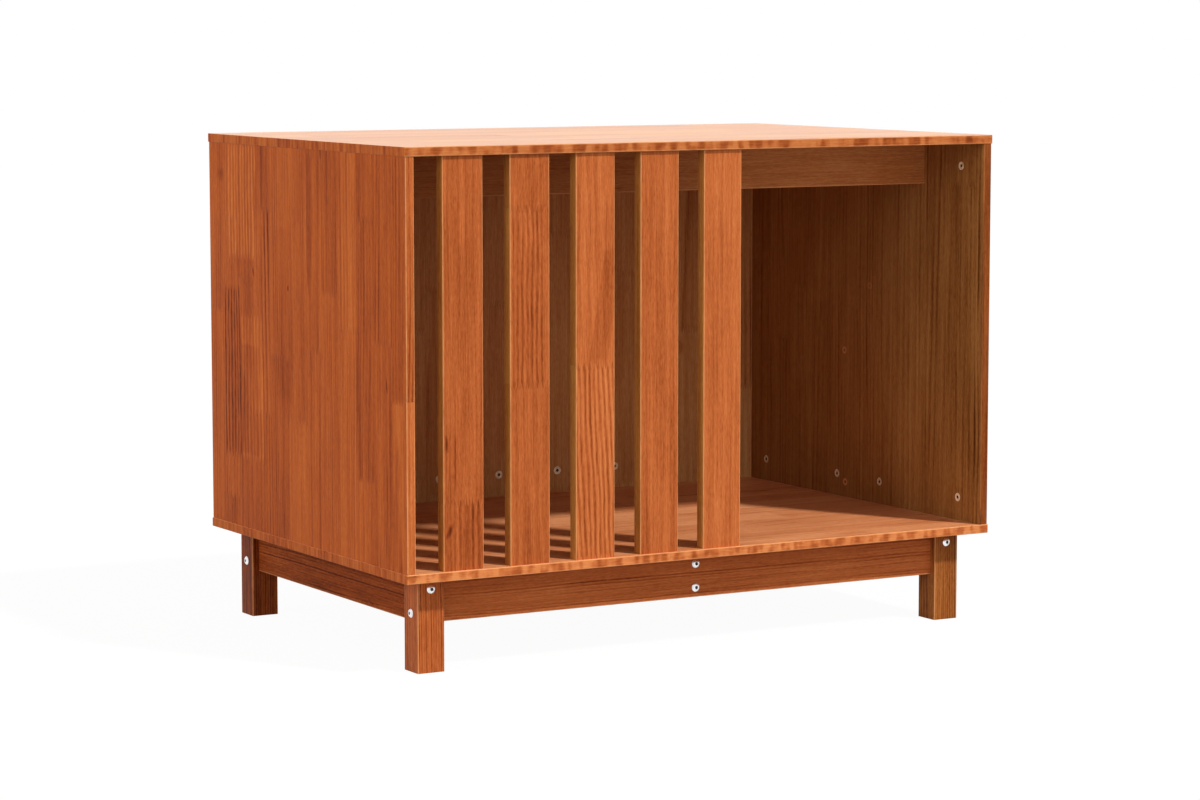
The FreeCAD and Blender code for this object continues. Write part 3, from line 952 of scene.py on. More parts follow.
@dataclass
class CabinBoards(TimberGroup):
    """The top, bottom, sides and back: panels glued up of finger-jointed staves."""

    SLOT = "panel_wood"
    staves: GluedStaves = GluedStaves()
    long_staves: GluedStaves = GluedStaves(segment_length=1600.0, tightest_rings=6.5, bold_share=0.08,
                                           tone_spread=0.03)
    quiet_staves: GluedStaves = GluedStaves(contrast=0.2, bold_share=0.05, tone_spread=0.06)
    edge_bands: float = 0.3
    # The wall and floor tints are painted shade and painted light on the cabin's inner faces.
    wall_painted_shade: Shade = (0.9, 1.3, 1.4)
    floor_painted_light: Shade = (1.22, 1.58, 2.2)
    left_side_lines: tuple[LinedStretch, ...] = (
        LinedStretch((-165.0, 66.0), (199.0, 252.0), 9.0, 0.38),
        LinedStretch((-165.0, 30.0), (127.0, 199.0), 10.5, -0.2),
        LinedStretch((110.0, 262.0), (147.0, 236.0), 9.5, -0.3))
    left_side_patches: tuple[DarkPatch, ...] = (
        DarkPatch(-85.0, 170.0, 78.0, 30.0, 0.0, 0.1, 0.08),
        DarkPatch(40.0, 60.0, 120.0, 26.0, 0.0, 0.06, 0.1),
        DarkPatch(91.0, 156.0, 8.0, 2.6, 0.2, 0.4, 0.8),
        DarkPatch(76.0, 46.0, 5.0, 3.0, 0.0, 0.45, 0.8),
        DarkPatch(-28.0, -244.0, 14.0, 2.6, 0.15, 0.35, 0.8))
    right_side_holes: tuple[PluggedHole, ...] = (
        PluggedHole(-240.8, 32.5, 0.9), PluggedHole(-47.9, 36.9, 0.5), PluggedHole(50.2, -26.5, 0.25))
    # Painted shade over the front part of the right side.
    right_side_painted_shade: tuple[DarkPatch, ...] = (DarkPatch(0.0, -260.0, 600.0, 150.0, 0.0, 0.18, 0.9),)

    def cuts(self) -> list[BoardCut]:
        """Return the five boards, grain along the width except in the sides."""
        return [
            # Face tints here are painted light and shade, and the raised tones of the top and bottom are
            # painted light; the top's pale upper face is a painted reflection.
            BoardCut("top_panel", Axis.X, Axis.Y, 1.3, self.staves, 0.1, -1.0, self.wall_painted_shade,
                     (1.2, 1.62, 1.5), (0.82, 0.78, 0.72), lacquer=0.64, edge_bands=self.edge_bands),
            BoardCut("bottom_panel", Axis.X, Axis.Y, 2.1, self.staves, 0.1, 1.0, self.floor_painted_light,
                     edge_bands=self.edge_bands),
            BoardCut("left_side_panel", Axis.Z, Axis.Y, 3.2, self.staves, -0.08, 1.0, self.wall_painted_shade,
                     (1.03, 0.85, 0.58), reflection=0.02, lined=self.left_side_lines,
                     patches=self.left_side_patches),
            BoardCut("right_side_panel", Axis.Z, Axis.Y, 4.6, self.long_staves, -0.06, -1.0,
                     (0.8, 1.35, 1.45), (1.05, 0.94, 0.8), (0.62, 0.66, 0.56), reflection=0.02,
                     edge_wear_and_highlight=0.15, holes=self.right_side_holes, patches=self.right_side_painted_shade),
            BoardCut("back_panel", Axis.Z, Axis.X, 5.4, self.quiet_staves, 0.07, -1.0, (0.97, 1.47, 1.75)),
        ]


@dataclass
class SlatFront(TimberGroup):
    """The five upright slats that close the left part of the front."""

    SLOT = "slat_wood"
    STAIN = SLAT_STAIN
    plain: GrainFigure = GrainFigure(6.4, 0.16, 58.0, 30.0, 0.004, 0.006)
    dashed: GrainFigure = GrainFigure(5.0, 0.14, 70.0, 34.0, 0.006, 0.008, 0.01)
    bold: GrainFigure = GrainFigure(7.0, 0.12, -80.0, 20.0, 0.006, 0.01, 0.07)
    curved: GrainFigure = GrainFigure(8.0, 0.1, -52.0, 22.0, 0.03, 0.02, 0.1)
    leaning: GrainFigure = GrainFigure(6.5, 0.16, 34.0, 30.0, 0.08, 0.02, -0.01)
    tones: tuple[float, ...] = (-0.17, -0.16, -0.06, -0.13, -0.07)
    edge_tint: Shade = (0.95, 1.4, 1.15)
    lined: dict[int, tuple[LinedStretch, ...]] = field(default_factory=lambda: {
        1: (LinedStretch((-262.0, -178.0), (-10.0, 28.0), 8.6, 0.14),),
        2: (LinedStretch((-32.0, 193.0), (-26.0, 19.0), 7.2, 0.24),),
        3: (LinedStretch((-262.0, -12.0), (-29.0, 29.0), 7.1, 0.32, 0.045),)})
    patches: dict[int, tuple[DarkPatch, ...]] = field(default_factory=lambda: {
        1: (DarkPatch(-125.0, -12.0, 52.0, 1.3, 0.005, 0.34, 0.7),
            DarkPatch(-100.0, -24.0, 15.0, 3.4, -0.1, 0.26, 0.8),
            DarkPatch(-212.0, -20.0, 12.0, 5.0, 0.3, 0.28, 0.8)),
        3: (DarkPatch(66.0, 16.0, 80.0, 15.0, 0.17, 0.12, 0.2),)})

    def cuts(self) -> list[BoardCut]:
        """Return the slats from the left, each with the joints and figures of its own lengths."""
        layouts = (
            JoinedSticks((self.plain, self.dashed), (-177.0,)),
            JoinedSticks((self.dashed, self.bold, self.leaning), (-32.0, 193.0)),
            JoinedSticks((self.curved, self.leaning), (-12.0,)),
            JoinedSticks((self.dashed,)),
            JoinedSticks((self.plain,)),
        )
        return [BoardCut(f"slat_{number}", Axis.Z, Axis.X, 7.0 + 1.37 * number, layout, tone,
                         edge_tint=self.edge_tint, lined=self.lined.get(number, ()),
                         patches=self.patches.get(number, ()))
                for number, (layout, tone) in enumerate(zip(layouts, self.tones), start=1)]


@dataclass
class InnerRail(TimberGroup):
    """The rail under the top, behind the slats."""

    SLOT = "rail_wood"
    STAIN = RAIL_STAIN
    layout: JoinedSticks = JoinedSticks((GrainFigure(5.0, 0.14, 60.0, 30.0, 0.003, 0.003),))

    def cuts(self) -> list[BoardCut]:
        """Return the one rail."""
        # The tint on the rail's front face is painted shade.
        return [BoardCut("top_rail", Axis.X, Axis.Z, 17.7, self.layout, 0.0, -1.0, (0.95, 1.2, 1.3),
                         streaks=0.14)]


@dataclass
class BaseRails(TimberGroup):
    """The five rails between and behind the legs."""

    SLOT = "rail_wood"
    STAIN = RAIL_STAIN
    layout: JoinedSticks = JoinedSticks((GrainFigure(3.8, 0.4, 52.0, 30.0, 0.004, 0.004),))

    def cuts(self) -> list[BoardCut]:
        """Return the rails, grain along their length."""
        return [
            BoardCut("base_rail_front", Axis.X, Axis.Z, 21.3, self.layout, -0.06),
            BoardCut("base_rail_rear", Axis.X, Axis.Z, 22.9, self.layout, -0.06),
            BoardCut("base_rail_left", Axis.Y, Axis.Z, 23.5, self.layout, -0.36, reflection=0.01),
            BoardCut("base_rail_right", Axis.Y, Axis.Z, 24.1, self.layout, -0.16),
            BoardCut("base_rail_centre", Axis.Y, Axis.Z, 25.6, self.layout, -0.05),
        ]


@dataclass
class Legs(TimberGroup):
    """The four square legs."""

    SLOT = "leg_wood"
    STAIN = LEG_STAIN
    layout: JoinedSticks = JoinedSticks((GrainFigure(3.4, 0.5, 46.0, 36.0, 0.02, 0.02),))
    plain: Shade = (1.0, 1.0, 1.0)
    painted_shade_browner: Shade = (0.86, 1.16, 1.02)

    def cuts(self) -> list[BoardCut]:
        """Return the legs, grain upright."""
        # The browner tint and the lower tones of the front right and rear left legs are painted shade.
        legs = (("front_left", -0.1, self.plain), ("front_right", -0.22, self.painted_shade_browner),
                ("rear_left", -0.38, self.plain), ("rear_right", -0.2, self.plain))
        return [BoardCut(f"leg_{name}", Axis.Z, Axis.X, 31.0 + 2.3 * number, self.layout, tone, 1.0,
                         outer_painted_light_and_shade=tint, edge_tint=tint)
                for number, (name, tone, tint) in enumerate(legs)]


@dataclass(frozen=True)
class Place:
    """Where one fastener goes: its origin in metres, the ways of its +Z and +X, and its finish."""

    at: Vector
    along: Vector
    facing: Vector
    finish: int = 0

    @property
    def matrix(self) -> Matrix:
        """Return the matrix that puts a fastener made in millimetres there."""
        turn = Matrix((self.facing, self.along.cross(self.facing), self.along)).transposed()
        return Matrix.Translation(self.at) @ turn.to_4x4() @ Matrix.Scale(MM, 4)


def thread(crest: float, root: float, start: float, end: float, pitch: float) -> list[Spot]:
    """Return the profile of a thread.

    Args:
        crest: Its outer radius.
        root: Its inner radius.
        start: The height that it starts at.
        end: The height that it stays under.
        pitch: The height of one turn.

    Returns:
        Radius and height of each point.
    """
    turn = ((root, 0.5), (crest, 0.88), (crest, 1.0))
    return [(radius, start + pitch * number + pitch * share)
            for number in range(int((end - start) / pitch)) for radius, share in turn]


class Turning:
    """A fastener modelled in millimetres along +Z, ready to be placed many times."""

    STEPS = 48
    SMOOTH_ANGLE = 32.0

    def __init__(self, profile: Sequence[Spot]) -> None:
        """Turn a profile about Z.

        Args:
            profile: Radius and height of each point, from one end to the other.
        """
        self.mesh = bmesh.new()
        points = [self.mesh.verts.new((radius, 0.0, height)) for radius, height in profile]
        edges = [self.mesh.edges.new(pair) for pair in zip(points, points[1:])]
        bmesh.ops.spin(self.mesh, geom=points + edges, cent=(0, 0, 0), axis=(0, 0, 1), dvec=(0, 0, 0),
                       angle=math.tau, steps=self.STEPS, use_merge=True, use_duplicate=False)
        bmesh.ops.remove_doubles(self.mesh, verts=self.mesh.verts, dist=1e-4)

    def recess(self, outline: bmesh.types.BMFace, depth: float) -> None:
        """Close the open end with a face, and sink that face. The recess gets the second finish, a painted
        shade.

        Args:
            outline: The face whose edge is the mouth of the recess.
            depth: How deep the recess is, along +Z.
        """
        mouth = list(outline.edges)
        rim = [edge for edge in self.mesh.edges if edge.is_boundary and edge not in set(mouth)]
        bmesh.ops.subdivide_edges(self.mesh, edges=mouth, cuts=self.STEPS // len(mouth) - 1)
        floor = max(self.mesh.faces, key=lambda face: len(face.verts))
        bmesh.ops.bridge_loops(self.mesh, edges=rim + list(floor.edges))
        outside = set(self.mesh.faces)
        sunk = bmesh.ops.extrude_face_region(self.mesh, geom=[floor])["geom"]
        moved = [item for item in sunk if isinstance(item, bmesh.types.BMVert)]
        bmesh.ops.translate(self.mesh, verts=moved, vec=(0, 0, depth))
        for face in self.mesh.faces:
            if face not in outside:
                face.material_index = 1
        bmesh.ops.delete(self.mesh, geom=[floor], context="FACES_ONLY")

    def paint_recess_shade(self, radius: float, low: float, high: float) -> None:
        """Give the second finish, a painted shade, to the faces inside a radius and between two heights."""
        for face in self.mesh.faces:
            if all(math.hypot(*vert.co.xy) < radius and low < vert.co.z < high for vert in face.verts):
                face.material_index = 1

    def flute(self, depth: float, low: float, high: float) -> None:
        """Press every second line of the side inwards.

        Args:
            depth: How far inwards.
            low: The height above which the flutes begin.
            high: The height below which they end.
        """
        for vert in self.mesh.verts:
            line = round(math.atan2(vert.co.y, vert.co.x) / math.tau * self.STEPS)
            if line % 2 and low < vert.co.z < high:
                share = 1 - depth / math.hypot(*vert.co.xy)
                vert.co = Vector((vert.co.x * share, vert.co.y * share, vert.co.z))

    def open_ring(self, radii: Spot, heights: Spot, opening: float) -> None:
        """Add a wall round part of a circle, closed at both of its ends.

        Args:
            radii: The wall's inner and outer radius.
            heights: The heights that it starts and ends at.
            opening: The angle left open round -X, in degrees.
        """
        half = math.radians(180 - opening / 2)
        (inner, outer), (low, high) = radii, heights
        section = [self.mesh.verts.new((radius, 0.0, height))
                   for radius, height in ((inner, low), (outer, low), (outer, high), (inner, high))]
        face = self.mesh.faces.new(section)
        bmesh.ops.rotate(self.mesh, verts=section, cent=(0, 0, 0), matrix=Matrix.Rotation(-half, 3, "Z"))
        bmesh.ops.spin(self.mesh, geom=[*section, *face.edges, face], cent=(0, 0, 0), axis=(0, 0, 1),
                       dvec=(0, 0, 0), angle=2 * half, steps=self.STEPS // 2, use_merge=False,
                       use_duplicate=False)

    def hexagon(self, flats: float, height: float) -> bmesh.types.BMFace:
        """Return a hexagonal face at a height, its size across the flats."""
        made = bmesh.ops.create_circle(self.mesh, cap_ends=True, segments=6, radius=flats / math.sqrt(3),
                                       matrix=Matrix.Translation((0, 0, height)))
        return made["verts"][0].link_faces[0]

    def cross(self, length: float, width: float, height: float) -> bmesh.types.BMFace:
        """Return a cross-shaped face at a height.

        Args:
            length: From tip to tip.
            width: Across one arm.
            height: The face's place along Z.

        Returns:
            The face.
        """
        made = bmesh.ops.create_grid(self.mesh, x_segments=3, y_segments=3, size=1.0)
        for vert in made["verts"]:
            spread = [math.copysign(length / 2 if abs(value) > 0.5 else width / 2, value)
                      for value in vert.co[:2]]
            vert.co = Vector((*spread, height))
        faces = {face for vert in made["verts"] for face in vert.link_faces}
        corners = [face for face in faces
                   if min(abs(value) for value in face.calc_center_median()[:2]) > width / 2]
        bmesh.ops.delete(self.mesh, geom=corners, context="FACES")
        kept = [face for face in faces if face.is_valid]
        return bmesh.ops.dissolve_faces(self.mesh, faces=kept, use_verts=False)["region"][0]

    def put(self, look: str, node: str, slot: str, places: Iterable[Place],
            *finishes: bpy.types.Material) -> None:
        """Make one piece of many copies of this turning, and let it stand for a node.

        Args:
            look: The word before the node's name in the piece's name.
            node: The node that it stands for.
            slot: The material slot in the record; not used.
            places: Where each copy goes.
            *finishes: Its materials, the first one first.
        """
        bmesh.ops.recalc_face_normals(self.mesh, faces=self.mesh.faces)
        pattern = bpy.data.meshes.new(f"{node}_pattern")
        self.mesh.to_mesh(pattern)
        self.mesh.free()
        joined = bmesh.new()
        for place in places:
            copy = pattern.copy()
            copy.transform(place.matrix)
            for polygon in copy.polygons:
                polygon.material_index += place.finish
            joined.from_mesh(copy)
            bpy.data.meshes.remove(copy)
        bpy.data.meshes.remove(pattern)
        for face in joined.faces:
            face.smooth = True
        for edge in joined.edges:
            edge.smooth = edge.calc_face_angle(math.pi) < math.radians(self.SMOOTH_ANGLE)
        piece = show_mesh(f"{look}_{node}", joined, finishes)
        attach(piece, ROOT)
        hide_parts(node)
        LOG.info("%s stands for %s, %d faces", piece.name, node, len(piece.data.polygons))


@dataclass
class BaseJoints:
    """Where the base is fixed together, worked out from its legs and rails. Metres."""

    fixing_margin: float = 13.0 * MM
    screw_seat: float = 20.0 * MM
    leg_names: tuple[str, ...] = ("leg_front_left", "leg_front_right", "leg_rear_left", "leg_rear_right")
    rail_names: tuple[str, ...] = ("base_rail_front", "base_rail_rear", "base_rail_left",
                                   "base_rail_right", "base_rail_centre")

    def __post_init__(self) -> None:
        """Measure the legs and the rails."""
        self.legs = [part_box(name) for name in self.leg_names]
        rail_low, rail_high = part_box("base_rail_front")
        self.lower_z = rail_low.z + self.fixing_margin
        self.upper_z = rail_high.z - self.fixing_margin
        self.long_rail_faces = (rail_low.y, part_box("base_rail_rear")[1].y)

    def _leg_places(self, axis: Axis, height: float, at_rail: bool = False, finish: int = 0) -> list[Place]:
        """Return a place in each leg for what runs along an axis through it into a rail.

        Args:
            axis: The rail's direction.
            height: How high the places are.
            at_rail: True for the face where the rail starts, False for the leg's outer face.
            finish: Which finish the copies there get.

        Returns:
            The places.
        """
        places = []
        for low, high in self.legs:
            middle = (low + high) / 2
            side = math.copysign(1.0, middle[axis.value])
            at = Vector((middle.x, middle.y, height))
            at[axis.value] = low[axis.value] if (side > 0) == at_rail else high[axis.value]
            places.append(Place(at, axis.vector * -side, Axis.Z.vector, finish))
        return places

    def long_rail_bolts(self) -> list[Place]:
        """Return the places of the bolts into the front and rear rails."""
        return self._leg_places(Axis.X, self.lower_z)

    def side_rail_bolts(self) -> list[Place]:
        """Return the places of the bolts into the side rails."""
        return self._leg_places(Axis.Y, self.upper_z)

    def centre_rail_bolts(self) -> list[Place]:
        """Return the places of the bolts into the centre rail."""
        return [Place(Vector((0.0, y, z)), Axis.Y.vector * -math.copysign(1.0, y), Axis.Z.vector)
                for y in self.long_rail_faces for z in (self.upper_z, self.lower_z)]

    def dowels(self) -> list[Place]:
        """Return the places of the dowels beside the leg bolts, those along Y with the second finish."""
        return (self._leg_places(Axis.X, self.upper_z, True)
                + self._leg_places(Axis.Y, self.lower_z, True, 1))

    def floor_screws(self) -> list[Place]:
        """Return the seats of the screws up through the rails, two in each."""
        places = []
        for low, high in map(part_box, self.rail_names):
            size = high - low
            axis = Axis.X if size.x > size.y else Axis.Y
            seat = Vector((*((low + high) / 2).xy, low.z + self.screw_seat))
            places += [Place(seat + axis.vector * size[axis.value] * share, Axis.Z.vector, axis.vector)
                       for share in (-0.25, 0.25)]
        return places


@dataclass
class CabinJoints:
    """Where the boards of the cabin are joined, worked out from their boxes. Metres."""

    cam_reach: float = 32.0 * MM
    side_cam_ys: tuple[float, ...] = (-245.5 * MM, -54.5 * MM, 54.5 * MM, 245.5 * MM)
    back_cam_count: int = 9
    back_cam_inset: float = 45.0 * MM
    side_dowel_y: float = 200.0 * MM
    narrow_inset: float = 14.0 * MM
    slat_count: int = 5

    def __post_init__(self) -> None:
        """Find the two faces between which the walls and slats stand."""
        self.faces = ((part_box("top_panel")[0].z, -Axis.Z.vector),
                      (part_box("bottom_panel")[1].z, Axis.Z.vector))

    def _cam_joints(self, board: str) -> list[tuple[Vector, Vector, Vector]]:
        """Find the cam joints of a board.

        Args:
            board: The board that holds the cams.

        Returns:
            Each cam's point on the joint face, the way in from it and the way into the board.
        """
        low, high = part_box(board)
        middle = (low + high) / 2
        if board == "back_panel":
            first, last = low.x + self.back_cam_inset, high.x - self.back_cam_inset
            pitch = (last - first) / (self.back_cam_count - 1)
            spots = [(first + pitch * index, middle.y) for index in range(self.back_cam_count)]
            into = Axis.Y.vector
        else:
            spots = [(middle.x, y) for y in self.side_cam_ys]
            into = Axis.X.vector * math.copysign(1.0, middle.x)
        return [(Vector((x, y, z)), way, into) for z, way in self.faces for x, y in spots]

    def cams(self, board: str) -> list[Place]:
        """Return the places of a board's cams, on its face that looks into the cabin."""
        low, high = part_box(board)
        half = min(high - low) / 2
        return [Place(point + way * self.cam_reach - into * half, into, way)
                for point, way, into in self._cam_joints(board)]

    def pins(self, *boards: str) -> list[Place]:
        """Return the places of the pins that stand in the top and bottom boards."""
        return [Place(point, way, into) for board in boards for point, way, into in self._cam_joints(board)]

    def side_dowels(self) -> list[Place]:
        """Return the places of the dowels in the edges of the sides."""
        middles = [(low + high) / 2 for low, high in map(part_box, ("left_side_panel", "right_side_panel"))]
        return [Place(Vector((middle.x, y, z)), way, Axis.X.vector)
                for z, way in self.faces for middle in middles
                for y in (-self.side_dowel_y, self.side_dowel_y)]

    def slat_dowels(self) -> list[Place]:
        """Return the places of the dowels in the ends of the slats."""
        boxes = [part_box(f"slat_{number}") for number in range(1, self.slat_count + 1)]
        return [Place(Vector((x, (low.y + high.y) / 2, z)), way, Axis.X.vector)
                for low, high in boxes
                for x in (low.x + self.narrow_inset, high.x - self.narrow_inset)
                for z, way in self.faces]

    def top_rail_dowels(self) -> list[Place]:
        """Return the places of the dowels in the ends of the top rail."""
        low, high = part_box("top_rail")
        return [Place(Vector((x, (low.y + high.y) / 2, z)), way, Axis.Z.vector)
                for x, way in ((low.x, Axis.X.vector), (high.x, -Axis.X.vector))
                for z in (low.z + self.narrow_inset, high.z - self.narrow_inset)]


@dataclass
class Bolts:
    """The domed bolts with a hexagonal socket that hold the base together. Millimetres."""

    SLOT = "bolt_steel"
    joints: BaseJoints
    diameter: float = 6.0
    head_diameter: float = 12.0
    head_height: float = 3.3
    rim_height: float = 0.6
    rim_rounding: float = 0.2
    socket_flats: float = 4.0
    socket_mouth: float = 5.0
    mouth_drop: float = 0.35
    socket_depth: float = 1.7
    bare_length: float = 14.0
    thread_pitch: float = 1.0
    thread_depth: float = 0.45
    tip_chamfer: Spot = (0.4, 0.2)
    dome_steps: int = 9
    leg_bolt_length: float = 70.0
    centre_bolt_length: float = 50.0

    def _dome(self) -> list[Spot]:
        """Return the profile of the head, from the socket's mouth out to the rim."""
        radius = self.head_diameter / 2
        rise = self.head_height - self.rim_height
        sphere = (rise ** 2 + radius ** 2) / (2 * rise)
        mouth = self.socket_mouth / 2
        outs = [mouth + (radius - self.rim_rounding - mouth) * step / self.dome_steps
                for step in range(self.dome_steps + 1)]
        return [(out, sphere - math.sqrt(sphere ** 2 - out ** 2) - self.head_height) for out in outs]

    def _bolt(self, length: float) -> Turning:
        """Return one bolt with the seat of its head at the origin.

        Args:
            length: From the seat to the tip.

        Returns:
            The turned bolt with its socket.
        """
        rim, crest = self.head_diameter / 2, self.diameter / 2
        root = crest - self.thread_depth
        dome = self._dome()
        inset, rise = self.tip_chamfer
        bolt = Turning([
            *dome, (rim, -self.rim_height), (rim, -self.rim_rounding), (rim - self.rim_rounding, 0.0),
            (crest, 0.0), (crest, self.bare_length),
            *thread(crest, root, self.bare_length, length - self.thread_pitch, self.thread_pitch),
            (root, length - rise), (root - inset, length), (0.0, length)])
        mouth = bolt.hexagon(self.socket_flats, dome[0][1] + self.mouth_drop)
        bolt.recess(mouth, self.socket_depth - self.mouth_drop)
        return bolt

    def build(self) -> None:
        """Build the bolts of each kind and put them in the place of the plain ones."""
        finishes = BOLT_STEEL.build(), SOCKET_PAINTED_SHADE.build()
        kinds = (
            ("long_rail_bolts", self.joints.long_rail_bolts(), self.leg_bolt_length),
            ("side_rail_bolts", self.joints.side_rail_bolts(), self.leg_bolt_length),
            ("centre_rail_bolts", self.joints.centre_rail_bolts(), self.centre_bolt_length),
        )
        for node, places, length in kinds:
            self._bolt(length).put("socket", node, self.SLOT, places, *finishes)


@dataclass
class FloorScrews:
    """The cross-slotted screws up through the base rails into the bottom board. Millimetres.

    The crown is the curve of the head: a share of its radius, and a height over its top.
    """

    SLOT = "screw_steel"
    joints: BaseJoints
    diameter: float = 4.0
    shank_share: float = 0.9
    head_diameter: float = 8.0
    head_height: float = 2.6
    crown: tuple[Spot, ...] = ((0.62, 0.0), (0.82, 0.3), (0.96, 1.0), (1.0, 1.8))
    rim_rounding: float = 0.15
    length: float = 47.0
    bare_length: float = 16.0
    thread_pitch: float = 1.8
    thread_depth: float = 0.7
    tip_length: float = 5.0
    point_length: float = 1.6
    cross_length: float = 4.2
    cross_width: float = 1.1
    cross_depth: float = 1.7

    def build(self) -> None:
        """Build the screws and put them in the place of the plain ones."""
        rim, crest, top = self.head_diameter / 2, self.diameter / 2, -self.head_height
        root, shank = crest - self.thread_depth, crest * self.shank_share
        threaded = self.length - self.tip_length
        screw = Turning([
            *((rim * share, top + height) for share, height in self.crown),
            (rim, -self.rim_rounding), (rim - self.rim_rounding, 0.0),
            (shank, 0.0), (shank, self.bare_length),
            *thread(crest, root, self.bare_length, threaded, self.thread_pitch),
            (root, threaded), (root / 2, self.length - self.point_length), (0.0, self.length)])
        screw.recess(screw.cross(self.cross_length, self.cross_width, top), self.cross_depth)
        screw.put("cross_slotted", "base_screws", self.SLOT, self.joints.floor_screws(),
                  SCREW_STEEL.build(), SOCKET_PAINTED_SHADE.build())


@dataclass
class CamLocks:
    """The cam locks in the sides and the back: a ringed cap over a wall open to the pin. Millimetres."""

    SLOT = "cam_zinc"
    joints: CabinJoints
    radius: float = 6.0
    length: float = 9.7
    cap: float = 2.4
    rim_rounding: float = 0.4
    lip: float = 1.5
    dish: float = 0.15
    dish_rounding: float = 0.2
    mouth_radius: float = 2.2
    mouth_depth: float = 1.1
    cross_length: float = 4.0
    cross_width: float = 1.3
    cross_depth: float = 0.9
    wall: float = 2.2
    opening: float = 120.0

    def _cam(self) -> Turning:
        """Return one cam lock with its face at the origin and its opening towards -X."""
        mouth, lip, soft = self.mouth_radius, self.radius - self.lip, self.dish_rounding
        cam = Turning([
            (mouth, self.mouth_depth), (mouth, self.dish + soft), (mouth + soft, self.dish),
            (lip - soft, self.dish), (lip, 0.0), (self.radius - self.rim_rounding, 0.0),
            (self.radius, self.rim_rounding), (self.radius, self.cap), (0.0, self.cap)])
        cam.recess(cam.cross(self.cross_length, self.cross_width, self.mouth_depth), self.cross_depth)
        # Painted shade in the cam's mouth.
        cam.paint_recess_shade(mouth + 0.05, self.dish, self.cap - 0.1)
        cam.open_ring((self.radius - self.wall, self.radius), (self.cap, self.length), self.opening)
        return cam

    def build(self) -> None:
        """Build the cams of each board and put them in the place of the plain ones."""
        finishes = CAM_ZINC.build(), SOCKET_PAINTED_SHADE.build()
        for board in ("left_side_panel", "right_side_panel", "back_panel"):
            node = f"{board.split('_')[0]}_cam_locks"
            self._cam().put("ringed", node, self.SLOT, self.joints.cams(board), *finishes)


@dataclass
class CamPins:
    """The pins screwed into the top and bottom boards and held by the cams. Millimetres.

    A collar stands in the joint and another one under the neck: each is a row of the depth of its
    groove and its height, the first from the joint face and the second from the head.
    """

    SLOT = "pin_steel"
    joints: CabinJoints
    radius: float = 2.5
    root_radius: float = 1.7
    head_radius: float = 3.0
    thread_length: float = 9.0
    thread_end: float = 0.6
    thread_pitch: float = 1.5
    collar: tuple[Spot, ...] = ((0.2, 0.3), (0.0, 0.5), (0.0, 1.6), (0.4, 2.0), (0.4, 22.0), (0.0, 22.4))
    neck: tuple[Spot, ...] = ((0.0, -4.0), (0.8, -3.4), (0.8, 0.0))
    head: tuple[Spot, ...] = ((0.5, 0.0), (0.0, 0.6), (0.0, 2.2), (0.8, 3.0))
    tip_chamfer: float = 0.3
    head_at: float = 30.5

    def _pin(self) -> Turning:
        """Return one pin with the joint face at the origin, its thread below and its head above."""
        head_at, low = self.head_at, -self.thread_length
        return Turning([
            (0.0, low), (self.root_radius - self.tip_chamfer, low),
            *thread(self.radius, self.root_radius, low, -self.thread_end, self.thread_pitch),
            *((self.radius - groove, height) for groove, height in self.collar),
            *((self.radius - groove, head_at + height) for groove, height in self.neck),
            *((self.head_radius - inset, head_at + height) for inset, height in self.head),
            (0.0, head_at + self.head[-1][1])])

    def build(self) -> None:
        """Build the pins and put them in the place of the plain ones."""
        steel = PIN_STEEL.build()
        for node, boards in (("side_cam_pins", ("left_side_panel", "right_side_panel")),
                             ("back_cam_pins", ("back_panel",))):
            self._pin().put("threaded", node, self.SLOT, self.joints.pins(*boards), steel)


@dataclass
class Dowels:
    """The fluted beech dowels, with tapered ends. A pair is a radius and the length in the face. In mm."""

    SLOT = "dowel_wood"
    base: BaseJoints
    cabin: CabinJoints
    flute_depth: float = 0.22
    taper: float = 0.9
    thin: Spot = (3.0, 9.0)
    thick: Spot = (4.0, 12.0)
    in_end: float = 18.0

    def _dowel(self, radius: float, in_face: float) -> Turning:
        """Return one dowel that crosses the origin.

        Args:
            radius: Over the ridges.
            in_face: How far it goes down from the origin.

        Returns:
            The fluted dowel.
        """
        low, high = -in_face, self.in_end
        dowel = Turning([(0.0, low), (radius - self.taper, low), (radius, low + self.taper),
                         (radius, high - self.taper), (radius - self.taper, high), (0.0, high)])
        dowel.flute(self.flute_depth, low + self.taper / 2, high - self.taper / 2)
        return dowel

    def build(self) -> None:
        """Build the dowels of each kind and put them in the place of the plain ones."""
        along_x, along_y, along_z = (BEECH.build(axis) for axis in Axis)
        kinds = (
            ("side_panel_dowels", self.thin, self.cabin.side_dowels(), (along_z,)),
            ("slat_dowels", self.thin, self.cabin.slat_dowels(), (along_z,)),
            ("top_rail_dowels", self.thin, self.cabin.top_rail_dowels(), (along_x,)),
            ("base_dowels", self.thick, self.base.dowels(), (along_x, along_y)),
        )
        for node, size, places, finishes in kinds:
            self._dowel(*size).put("fluted", node, self.SLOT, places, *finishes)


@dataclass
class BarrelNuts:
    """The barrel nuts, which keep their own shape: a slotted cylinder with a cross hole."""

    SLOT = "nut_steel"
    names: tuple[str, ...] = ("leg_joint_nuts", "centre_rail_nuts")

    def dress(self, nodes: FrameNodes) -> None:
        """Finish the nuts."""
        steel = NUT_STEEL.build()
        for name in self.names:
            nodes.dress(name, steel, self.SLOT)


@dataclass(frozen=True)
class Lamp:
    """A distant lamp: the way to it, its light on a surface that faces it, and its spread in degrees."""

    name: str
    comes_from: Triple
    strength: float
    spread: float
    glints: bool = False


